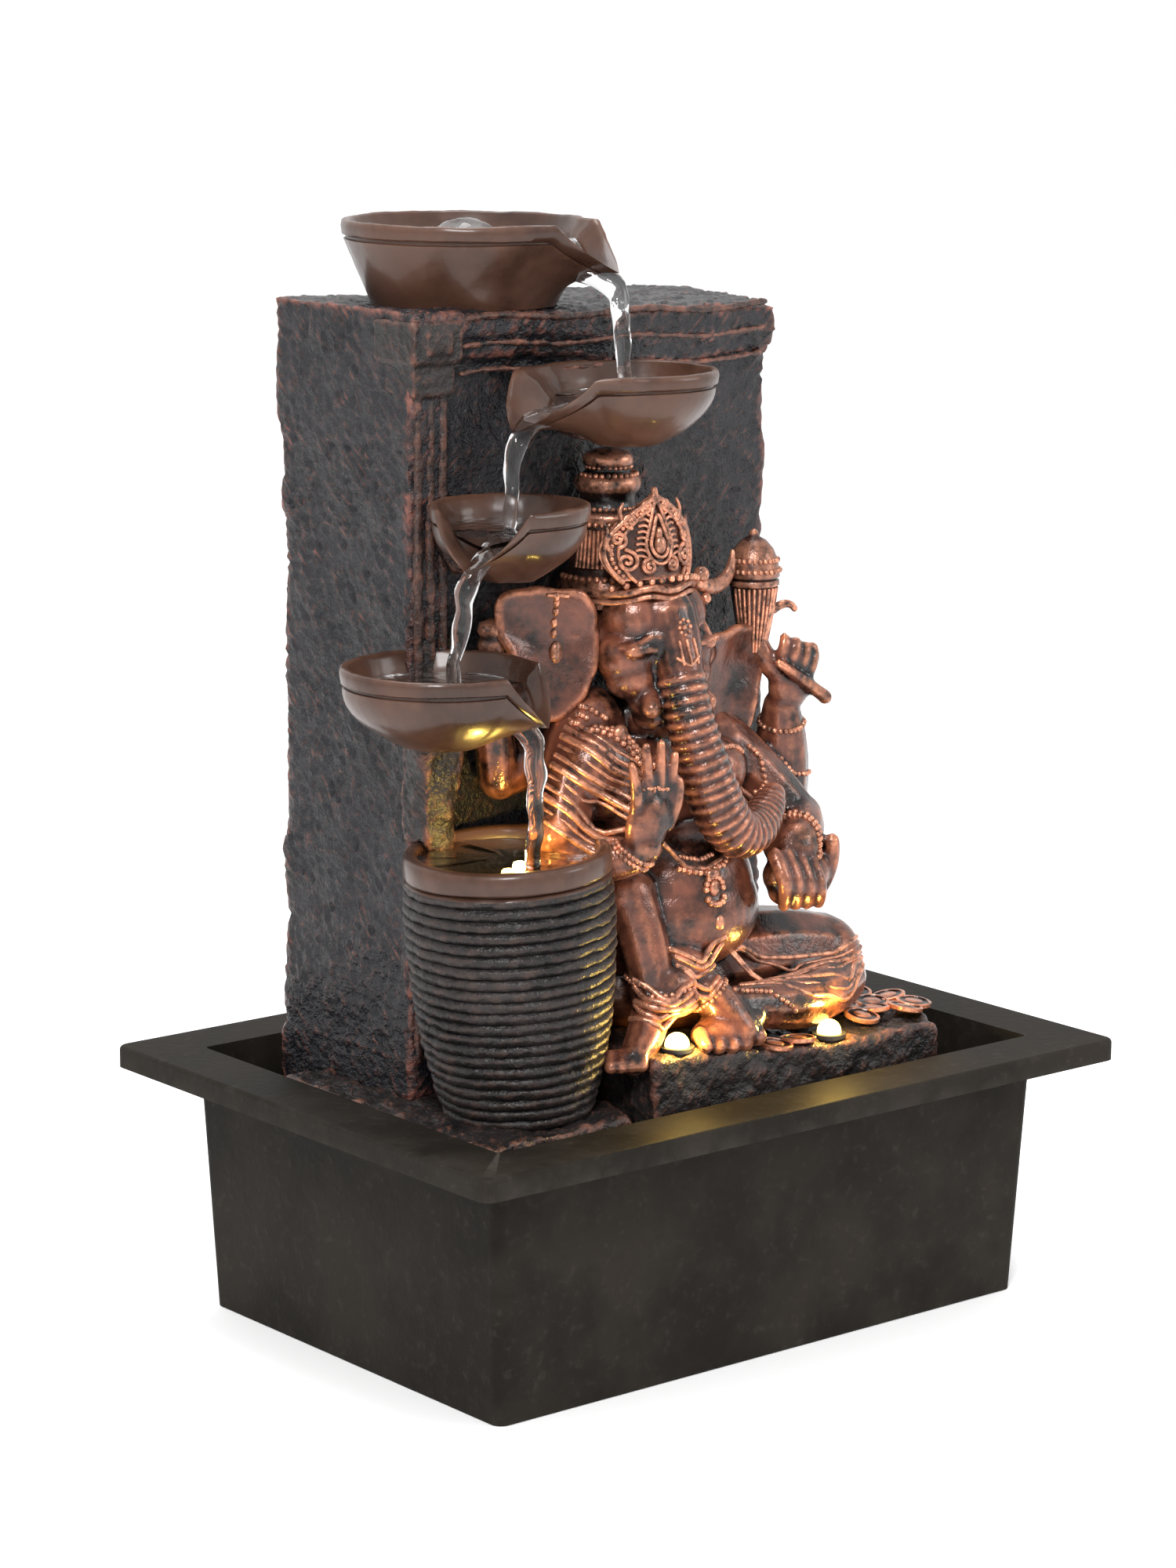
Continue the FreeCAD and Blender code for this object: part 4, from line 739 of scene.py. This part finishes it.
def trunkPath(share):  # centre line of the trunk from the brow to its curled end, and its radius
    knots = [(-20.5, -48, 268, 11.5), (-20, -53, 258, 10.0), (-20.6, -58, 246, 8.4), (-20, -61.5, 234, 8.3),
             (-17.5, -64, 222, 8.8), (-13.8, -66, 209, 9.4), (-9.8, -68, 198, 9.4), (-3, -68.5, 190.5, 8.8),
             (7.5, -66, 190.5, 8.0), (16.5, -62, 195, 6.6), (22.5, -59, 199.5, 4.8)]
    at = share * (len(knots) - 1)
    low = min(int(at), len(knots) - 2)
    t = at - low
    before = knots[max(low - 1, 0)]
    after = knots[min(low + 2, len(knots) - 1)]
    a, b = knots[low], knots[low + 1]
    return [0.5 * (2 * q + (r - p) * t + (2 * p - 5 * q + 4 * r - s) * t * t
                   + (3 * q - p - 3 * r + s) * t ** 3)
            for p, q, r, s in zip(before, a, b, after)]


def makeHead():
    parts = [
        ball((-20, -37, 259), (22, 19, 20), segments=40),
        ball((-27.5, -42, 267), (14, 12.5, 12.5)), ball((-13, -42, 267), (14, 12.5, 12.5)),  # forehead
        ball((-21, -47, 260), (14, 12.5, 14)),
        ball((-33, -43, 254), (11.5, 11, 12)), ball((-8, -43, 254), (11.5, 11, 12)),  # sides of the face
        ball((-33.5, -45, 246.5), (9, 9.5, 8)), ball((-7.5, -45, 246.5), (9, 9.5, 8)),  # cheeks
        ball((-28, -49, 239), (8.5, 8, 7)), ball((-13, -49, 239), (8.5, 8, 7)),
        ball((-26, -47, 232.5), (7, 8, 5.5)), ball((-15, -47, 232.5), (7, 8, 5.5)),
        # tusks
        rod([(-30, -51, 241), (-33.5, -57, 237)], [4.4, 3.6]),
             rod([(-11, -51, 241), (-7.5, -57, 237)], [4.4, 3.6]),
        ball((-36.5, -51.3, 257.6), (4.6, 3.6, 3.2), turn=(0, -8, 25)),  # eyes
        ball((-4.5, -51.3, 257.6), (4.6, 3.6, 3.2), turn=(0, 8, -25)),
    ]
    base = voxelFuse(joinAll("headBase", parts), figure["headVoxel"], relax=6, factor=0.5)
    parts = [base]
    for side in (-1, 1):  # lids, brow and the fold under the eye
        x = -20.5 + side * 16
        parts.append(cordOn(base, [(x + side * 5, -52, 257), (x + side * 1.5, -57, 260),
                                   (x - side * 4.4, -58, 257.2)], 0.8, lift=-0.2))
        parts.append(cordOn(base, [(x + side * 5, -52, 256.8), (x + side * 1, -57, 255.3),
                                   (x - side * 4.4, -58, 257)], 0.7, lift=-0.2))
        parts.append(cordOn(base, [(x + side * 7, -50, 259.5), (x + side * 2, -57, 264.4),
                                   (x - side * 5.5, -60, 262.5)], 1.3, lift=-0.8))
    # trunk with its cross ridges
    steps = 150
    path = [trunkPath(i / (steps - 1)) for i in range(steps)]
    parts.append(rod([p[:3] for p in path], [p[3] for p in path], steps=1, sides=6))
    rings = figure["trunkRings"]
    for i in range(rings):
        share = 0.20 + 0.76 * i / (rings - 1)
        here, ahead = Vector(trunkPath(share)[:3]), Vector(trunkPath(min(share + 0.01, 1.0))[:3])
        radius = trunkPath(share)[3]
        bpy.ops.mesh.primitive_torus_add(major_segments=36, minor_segments=8,
                                         major_radius=(radius - 0.35) * mm,
                                         minor_radius=(1.25 - 0.35 * i / rings) * mm, location=here * mm)
        ring = bpy.context.object
        ring.rotation_euler = (ahead - here).to_track_quat("Z", "Y").to_euler()
        parts.append(settle(ring))
    skull = joinAll("figureHead", parts)
    return voxelFuse(skull, figure["headVoxel"], relax=3, factor=0.4)


earOutline = (15, 16, 19, 21, 20, 23, 27, 22, 17, 16, 18, 23, 26, 21, 16, 15)


def earPlace(side, u, v):  # a lobed flap: u goes out from its middle, v round its edge
    turn = v * 2 * math.pi
    at = (v % 1.0) * len(earOutline)
    low = int(at)
    share = (1 - math.cos((at - low) * math.pi)) / 2
    reach = earOutline[low] * (1 - share) + earOutline[(low + 1) % len(earOutline)] * share
    across, rise = u * reach * math.cos(turn), u * reach * math.sin(turn)
    dish = 3.5 * (1 - u * u) + 1.5 * u * u * math.sin(3 * turn + 0.6)
    if side < 0:
        return -59 + across, -35 + dish - 0.30 * across, 258.5 + rise
    return 16 - across * 1.05, -38 + dish - 0.16 * across, 234 + rise * 1.12


def makeEar(side, name):
    def shape(u, v):
        return earPlace(side, u, v)

    flap = wrapGrid(name, 16, 72, shape)
    modify(flap, "SOLIDIFY", thickness=3.4 * mm, offset=0)
    edge = rod([earPlace(side, 0.97, i / 48) for i in range(48)], 1.9, steps=3, closed=True)
    parts = [flap, edge]
    if side < 0:
        parts.append(rod([(-50, -34, 262), (-40, -35, 261), (-34, -36, 258)], [3, 4.5, 7]))
    else:
        parts.append(rod([(6, -38, 250), (0, -38, 254), (-6, -38, 256)], [5, 6, 8]))
    # soft folds
    for reach, start, stop in ((0.72, 0.05, 0.30), (0.66, 0.36, 0.46), (0.7, 0.62, 0.78), (0.42, 0.1, 0.42)):
        parts.append(rod([earPlace(side, reach + 0.06 * math.sin(i), start + (stop - start) * i / 5)
                          for i in range(6)],
                         [0.6, 1.6, 1.9, 1.9, 1.6, 0.6], sides=2))
    return voxelFuse(joinAll(name, parts), figure["earVoxel"], relax=3)


def makeCrown():
    axis = (-26, -23)
    profile = [(0, 268), (17.5, 270), (18, 276), (17, 280), (15, 282), (13.6, 285), (13.0, 290), (12.4, 297),
               (12.4, 299), (13.4, 300.2), (13.4, 302.2), (12.0, 303.4), (10.4, 304.5), (9.8, 308),
               (10.2, 309.6), (11.6, 311.2), (12.0, 313.4), (11.4, 315.4), (9.4, 316.6), (8.0, 317.4),
               (7.8, 319), (9.0, 320.2), (9.2, 322.4), (7.6, 324), (4.5, 325.2), (0, 326)]
    tiers = turned("figureCrown", axis, profile, 72)
    beads = []
    for height, radius, size, count in ((280.5, 16.8, 1.3, 38), (299.4, 13.2, 1.0, 34),
                                        (304.6, 10.8, 0.9, 30), (316.4, 10.2, 1.0, 28), (319, 8.2, 0.8, 26)):
        for i in range(count):
            turn = 2 * math.pi * i / count
            if math.sin(turn) < 0.35:
                beads.append(ball((axis[0] + radius * math.cos(turn), axis[1] + radius * math.sin(turn),
                                   height), size,
                                  segments=8))
    ribs = []
    for i in range(26):
        turn = math.pi + math.pi * i / 25
        points = [(axis[0] + r * math.cos(turn), axis[1] + r * math.sin(turn), z)
                  for r, z in ((14.2, 284), (13.2, 290), (12.7, 297.5))]
        ribs.append(rod(points, 0.75, steps=2, sides=1, rounded=False))
    return joinAll("figureCrown", [tiers, *beads, *ribs])


leaf = dict(middle=-24.0, foot=281.5, height=31.5, half=20.0)


def plateAt(across, height, out=0.0):  # a point on the bowed leaf-shaped plate, across in mm from its middle
    forward = -50.0 - out + 0.5 * (across / 4.8) ** 2 * 0.9 + (height - 285) * 0.16
    return leaf["middle"] + across, forward, height


def leafHalf(height):  # half-width of the leaf
    share = (height - leaf["foot"]) / leaf["height"]
    return leaf["half"] * max(0.0, math.sin(math.pi * min(share * 0.80 + 0.26, 1.0))) ** 0.85


def scroll(centre, size, turns, hand, start, radius=0.8):
    points = []
    for i in range(int(12 * turns) + 1):
        turn = start + hand * 2 * math.pi * i / 12
        reach = size * (1 - 0.85 * i / (12 * turns))
        points.append(plateAt(centre[0] + reach * math.cos(turn), centre[1] + reach * math.sin(turn), 1.2))
    return rod(points, [radius] * len(points), steps=2, sides=2)


def makePlate():
    def shape(u, v):
        height = leaf["foot"] + leaf["height"] * v
        return plateAt((2 * u - 1) * leafHalf(height), height, -1.2)

    sheet = wrapGrid("crownPlate", 36, 36, shape)
    modify(sheet, "SOLIDIFY", thickness=2.4 * mm, offset=0)
    parts = [sheet]
    heights = [leaf["foot"] + leaf["height"] * i / 24 for i in range(25)]
    for inset, radius, out in ((0.4, 1.1, 0.7), (4.6, 0.7, 0.9)):
        left = [plateAt(-max(leafHalf(h) - inset, 0.2), h, out) for h in heights]
        right = [plateAt(max(leafHalf(h) - inset, 0.2), h, out) for h in reversed(heights)]
        parts.append(rod(left + right, radius, steps=2, sides=2))
    for side in (-1, 1):  # row of beads between the two edges
        for i in range(19):
            h = 283.5 + 27 * i / 18
            parts.append(ball(plateAt(side * max(leafHalf(h) - 2.5, 0.3), h, 0.7), 0.95, segments=8))
    # teardrop, its nested hoops, and the small ribs inside the leaf
    for size, radius, out in ((5.2, 0.75, 1.2), (7.6, 0.7, 1.0)):
        hoop = []
        for i in range(20):
            turn = 2 * math.pi * i / 20
            lift = max(math.sin(turn), 0) ** 3 * size * 0.9
            hoop.append(plateAt(size * 0.78 * math.cos(turn) * (1 - 0.35 * max(math.sin(turn), 0)),
                                294.5 + size * math.sin(turn) + lift, out))
        parts.append(rod(hoop, radius, steps=2, sides=2, closed=True))
    parts.append(ball(plateAt(0, 293.5, 1.0), (2.4, 1.8, 3.4), segments=14))
    parts.append(ball(plateAt(0, 297, 0.8), (1.4, 1.4, 3.0), segments=12))
    for side in (-1, 1):
        for i in range(9):
            h = 289.5 + 2.1 * i
            reach = 8.2 - 0.45 * i
            parts.append(rod([plateAt(side * reach * 0.72, h, 0.8), plateAt(side * reach, h + 1.4, 1.3),
                              plateAt(side * (reach + 1.6), h + 0.6, 0.8)], 0.6, steps=2, sides=1))
        parts.append(scroll((side * 13.0, 288.6), 4.0, 1.6, side, math.pi / 2))
        parts.append(scroll((side * 5.2, 286.4), 2.9, 1.5, -side, math.pi / 2))
        parts.append(scroll((side * 15.2, 296.2), 2.9, 1.4, -side, -math.pi / 2))
        parts.append(scroll((side * 10.6, 302.6), 2.6, 1.4, side, -math.pi / 2))
        parts.append(scroll((side * 4.6, 307.4), 2.2, 1.3, -side, -math.pi / 2, 0.65))
        parts.append(rod([plateAt(side * 17.0, 291, 0.4), plateAt(side * 19.4, 295, 1.0),
                          plateAt(side * 17.4, 299, 0.6), plateAt(side * 18.6, 301.5, 0.6)],
                         [0.8, 1.1, 0.9, 0.5], sides=2))
        parts.append(rod([plateAt(side * 12.6, 302, 0.4), plateAt(side * 14.8, 305.5, 0.8),
                          plateAt(side * 12.2, 308.5, 0.4)],
                         [0.8, 1.0, 0.5], sides=2))
    # wavy double head band
    for drop, radius in ((0, 1.35), (3.0, 1.0)):
        parts.append(rod([(-44, -34, 276.5 - drop), (-38, -46, 276 - drop), (-31, -53, 280 - drop),
                          (-23, -56, 277.5 - drop), (-14, -54, 280.5 - drop), (-6, -47, 277.5 - drop),
                          (1, -36, 275 - drop)], radius))
    for i in range(13):
        share = i / 12
        x = -40 + 39 * share
        parts.append(ball((x, -56.2 + 0.036 * (x + 20.5) ** 2, 282.4 - 0.010 * (x + 20.5) ** 2), 1.3,
                          segments=8))
    # horn-like finial on the right and its knop
    parts.append(rod([(0, -42, 277), (9, -39, 273.5), (18, -36, 275), (23.5, -34, 280), (24.5, -33, 285)],
                     [2.6, 3.0, 2.6, 1.8, 0.8]))
    parts.append(ball((1, -43, 280), 3.0, segments=12))
    parts.append(ball((4, -42, 271), 2.2, segments=10))
    return joinAll("crownPlate", parts)


def makeOrnaments(skin):
    parts = []
    # necklaces and pendant
    outer = [(-42, -50, 208), (-40, -60, 196), (-33, -68, 187), (-24, -72, 182), (-16, -73, 180),
             (-6, -71, 182), (3, -66, 188)]
    inner = [(-38, -52, 210), (-35, -60, 200), (-28, -67, 191), (-18, -70, 186), (-8, -68, 187)]
    parts += beadString(skin, outer, 1.25)
    parts += beadString(skin, inner, 1.0)
    parts.append(cordOn(skin, [(x, y, z + 2.6) for x, y, z in outer], 0.9))
    for i in range(14):
        turn = 2 * math.pi * i / 14
        parts.append(ball(landOn(skin, (-13 + 4.4 * math.cos(turn), -74, 172.5 + 5.4 * math.sin(turn)), 0.5),
                          1.25, segments=8))
    parts.append(ball(landOn(skin, (-13, -74, 172.5), 0.6), (2.2, 1.4, 3.0), segments=12))
    parts.append(ball(landOn(skin, (-13, -74, 179.5), 0.8), (3.4, 1.6, 2.0), segments=12))
    # brow mark
    for turn in range(0, 360, 45):
        a = math.radians(turn)
        parts.append(ball(landOn(head, (-22 + 2.6 * math.cos(a), -62, 266 + 2.8 * math.sin(a)), 0.1), 0.8,
                          segments=8))
    parts.append(ball(landOn(head, (-22, -62, 266), 0.1), 1.1, segments=8))
    parts.append(cordOn(head, [(-26, -62, 255), (-22, -64, 252), (-18, -63, 255)], 0.6))
    for x in (-25, -22, -19):
        parts.append(cordOn(head, [(x, -62, 261), (x + 0.5, -64, 253)], 0.55))
    # arm bands, bracelets, anklet
    parts += bracelet(skin, (-49.5, -66.5, 189), (0.35, -0.5, 0.8), 8, 1.1, 2)
    parts += bracelet(skin, (49, -36.5, 220), (-0.2, -0.2, 1), 8, 1.1, 1)
    parts += bracelet(skin, (34, -60, 182.5), (-0.8, -0.5, 0), 9.5, 1.1, 2)
    parts += bracelet(skin, (53, -32.5, 202), (0.1, -0.1, 1), 11, 1.0, 1)
    parts += bracelet(skin, (-35, -61, 139), (0.1, -0.1, 1), 12, 1.1, 1)
    parts += bracelet(skin, (-13, -66, 132), (0.5, -0.4, -0.7), 10, 1.0, 1)
    # pleated shawl over the left upper arm
    for i in range(11):
        share = i / 10
        high = Vector((-60, -40, 238)).lerp(Vector((-76, -46, 202)), share)
        low = Vector((-30, -62, 217)).lerp(Vector((-46, -64, 184)), share)
        mid = (high + low) / 2 + Vector((-3, -8, -3))
        parts.append(cordOn(skin, [high, mid, low], 0.8 + 0.35 * (i % 3), lift=-0.25))
    edge = [(-29, -60, 214), (-33, -62, 204), (-40, -64, 196), (-46, -64, 188)]
    parts += beadString(skin, edge, 1.1)
    # ornate band across the shoulder
    band = [Vector((-58, -42, 240)), Vector((-46, -52, 232)), Vector((-36, -58, 224)),
            Vector((-28, -60, 216))]
    for shift in (-3.2, 0.0, 3.2):
        parts += beadString(skin, [p + Vector((shift * 0.7, 0, shift)) for p in band], 1.25, lift=0.3)
    parts.append(ball(landOn(skin, (-43, -53, 230), 0.5), (3.4, 2.2, 3.4), segments=12))
    # right shoulder loop of beads, and cloth folds below it
    parts += beadString(skin, [(6, -58, 226), (18, -54, 222), (26, -50, 212), (27, -50, 202),
                               (20, -54, 194)], 1.15)
    for i in range(7):
        share = i / 6
        parts.append(cordOn(skin, [(14 + 22 * share, -54 + 6 * share, 199 - 6 * share),
                                   (18 + 20 * share, -56 + 6 * share, 190 - 6 * share),
                                   (20 + 20 * share, -54 + 4 * share, 181 - 5 * share)], 1.3, lift=-0.1))
    # folds along the leg cloth
    for i in range(7):
        share = i / 9
        parts.append(cordOn(skin, [(2 + 6 * share, -66 + 8 * share, 137 + 9 * share),
                                   (28 + 6 * share, -70 + 16 * share, 126 + 18 * share),
                                   (52 + 5 * share, -66 + 18 * share, 121 + 20 * share),
                                   (68 + 3 * share, -56 + 8 * share, 128 + 14 * share)],
                            0.7 if i % 2 else 1.05, lift=-0.3))
    parts += beadString(skin, [(-4, -74, 137), (10, -72, 130), (22, -74, 122)], 1.1)
    # waist folds between the legs and the cuff of the left leg
    for i in range(5):
        z = 149 - 3.4 * i
        parts.append(cordOn(skin, [(-30 + i, -66, z + 3), (-20, -74, z - 2), (-8 - i, -72, z + 3)], 1.1,
                            lift=-0.1))
        parts.append(cordOn(skin, [(-48, -62, 141 - 3 * i), (-38, -76, 137 - 3 * i),
                                   (-24, -72, 140 - 3 * i)], 1.25, lift=-0.1))
    # navel and finger rings
    parts.append(ball(landOn(skin, (-11.5, -72, 159), -0.4), (2.2, 1.4, 2.8), segments=12))
    parts += bracelet(skin, (-43.5, -73.5, 212), (0, 0, 1), 3.4, 0.6)
    parts += bracelet(skin, (-47.8, -73.5, 213), (0, 0, 1), 3.4, 0.6)
    # ear pendant
    for i in range(5):
        parts.append(ball(landOn(earLeft, (-63.5 + 0.3 * i, -44, 275 - 3.2 * i), 0.2), (1.3, 1.3, 1.8),
                          segments=8))
    parts.append(ball(landOn(earLeft, (-62, -44, 257), 0.3), (2.4, 1.6, 4.0), segments=12))
    parts.append(cordOn(earLeft, [(-67, -42, 275), (-63, -44, 277), (-59, -44, 275)], 0.8))
    # club-like emblem on the right
    clubX, clubY = 36.5, -31
    profile = [(0, 243), (3.6, 243.5), (4.6, 248), (5.6, 254), (6.8, 260), (7.8, 266), (8.6, 271.2),
               (9.6, 271.8), (9.6, 273.4), (8.8, 274), (9.8, 275), (9.6, 277), (8.9, 281), (7.2, 285),
               (4.6, 288), (2.0, 289.4), (1.4, 291.4), (0, 292.4)]
    parts.append(turned("club", (clubX, clubY), profile, 40))
    for i in range(15):
        turn = math.pi + math.pi * i / 14
        parts.append(rod([(clubX + r * math.cos(turn), clubY + r * math.sin(turn), z)
                          for r, z in ((8.6, 270.5), (7.9, 265), (6.9, 259.5), (5.7, 253.5), (4.7, 247.5))],
                         0.65, steps=2, sides=1))
        for height, radius in ((277.2, 9.7), (281, 8.9)):
            parts.append(ball((clubX + radius * math.cos(turn), clubY + radius * math.sin(turn), height),
                              0.95, segments=8))
    parts.append(rod([(44, -34, 262), (49, -36, 266), (51.5, -37, 262)], [1.6, 1.7, 1.2]))
    # small emblem on the left
    emblem = [(0, 250), (4.5, 251), (5.2, 255), (4.0, 257), (5.0, 259), (5.0, 261), (4.0, 263), (5.2, 265),
              (4.4, 268), (0, 270)]
    parts.append(turned("emblem", (-79, -24), emblem, 28))
    return joinAll("figureOrnaments", parts)


body = makeBody()
head = makeHead()
earLeft = makeEar(-1, "figureEarLeft")
earRight = makeEar(1, "figureEarRight")
ornaments = makeOrnaments(body)
for skin, material in ((body, figureMaterial), (head, figureMaterial), (earLeft, figureMaterial),
                       (earRight, figureMaterial), (makeCrown(), crownMaterial),
                       (makePlate(), crownMaterial), (ornaments, crownMaterial)):
    place(smooth(skin), "sculpture", "figure_resin", material)
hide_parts("seated_figure")
print("figure made")


# coins
coinSpots = [(62, -66, 9), (73, -60, -7), (84, -66, 8), (80, -52, 5), (90, -50, -8), (68, -48, 3),
             (84, -38, 7), (10, -76, 6), (22, -75, -5), (92, -62, 5), (74, -40, -6)]
coins = []
for x, y, tilt in coinSpots:
    coin = turned("coin", (0, 0), [(0, -0.9), (6.3, -0.9), (6.7, -0.5), (6.7, 0.7), (6.2, 1.0), (5.5, 1.0),
                                   (5.2, 0.55), (3.6, 0.6), (3.2, 0.9), (0, 1.0)], 40)
    coin.rotation_euler = (math.radians(tilt), math.radians(-tilt * 0.7), random.random() * 3)
    coin.location = Vector((x, y, 111.6 + 0.4 * abs(tilt) * 0.2)) * mm
    coins.append(settle(coin))
place(smooth(joinAll("coinHeap", coins), 40), "sculpture", "coin_resin", figureMaterial, "coins")
print("coins made")


# floor, light and camera
def areaLight(name, place, target, size, power, colour=(1, 1, 1)):
    light = bpy.data.lights.new(name, "AREA")
    light.shape = "DISK"
    light.size = size
    light.energy = power
    light.color = colour
    lamp = bpy.data.objects.new(name, light)
    lamp.location = place
    lamp.rotation_euler = (Vector(place) - Vector(target)).to_track_quat("Z", "Y").to_euler()
    bpy.context.scene.collection.objects.link(lamp)
    return lamp


def glowLight(name, place, power, size=2.5):
    light = bpy.data.lights.new(name, "POINT")
    light.energy = power
    light.color = (1.0, 0.66, 0.13)
    light.shadow_soft_size = size * mm
    lamp = bpy.data.objects.new(name, light)
    lamp.location = Vector(place) * mm
    lamp.parent = frame["bodies"]["sculpture"]
    bpy.context.scene.collection.objects.link(lamp)


studio = dict(floorSize=200.0, floorDrop=0.0003, white=1.04, lens=98.4, azimuth=-39.37, elevation=11.49,
              roll=0.327, camera=(-0.9903, -1.1881, 0.5112))
bpy.ops.mesh.primitive_plane_add(size=studio["floorSize"], location=(0, 0, -studio["floorDrop"]))
floor = bpy.context.object
floor.name = "paleFloor"
floor.data.materials.append(plainMaterial("paleFloorPaint", (0.98, 0.98, 0.98), roughness=0.9))

world = bpy.data.worlds.new("paleRoom")
world.use_nodes = True
world.node_tree.nodes["Background"].inputs["Color"].default_value = (1, 1, 1, 1)
world.node_tree.nodes["Background"].inputs["Strength"].default_value = studio["white"]
bpy.context.scene.world = world

areaLight("keyLight", (-1.2, -1.2, 1.7), (0, 0, 0.25), 0.6, 34)
areaLight("fillLight", (1.3, -1.5, 1.0), (0, 0, 0.2), 0.8, 9)
areaLight("topLight", (0.1, 0.4, 1.9), (0, 0, 0.2), 1.0, 16)
glowLight("glowLeft", (-32, -80, 124), 0.10)
glowLight("glowRight", (40, -79, 122), 0.10)
glowLight("glowPot", (-91, -55, 191), 0.14)

cameraData = bpy.data.cameras.new("viewCamera")
cameraData.lens = studio["lens"]
cameraData.sensor_width = 36.0
cameraData.clip_start = 0.01
camera = bpy.data.objects.new("viewCamera", cameraData)
around, up = math.radians(studio["azimuth"]), math.radians(studio["elevation"])
backward = Vector((math.sin(around) * math.cos(up), -math.cos(around) * math.cos(up), math.sin(up)))
upright = backward.to_track_quat("Z", "Y").to_matrix()
camera.rotation_euler = (upright @ Matrix.Rotation(math.radians(studio["roll"]), 3, "Z")).to_euler()
camera.location = studio["camera"]
bpy.context.scene.collection.objects.link(camera)
bpy.context.scene.camera = camera
bpy.context.scene.view_settings.view_transform = "Standard"
print("studio made")
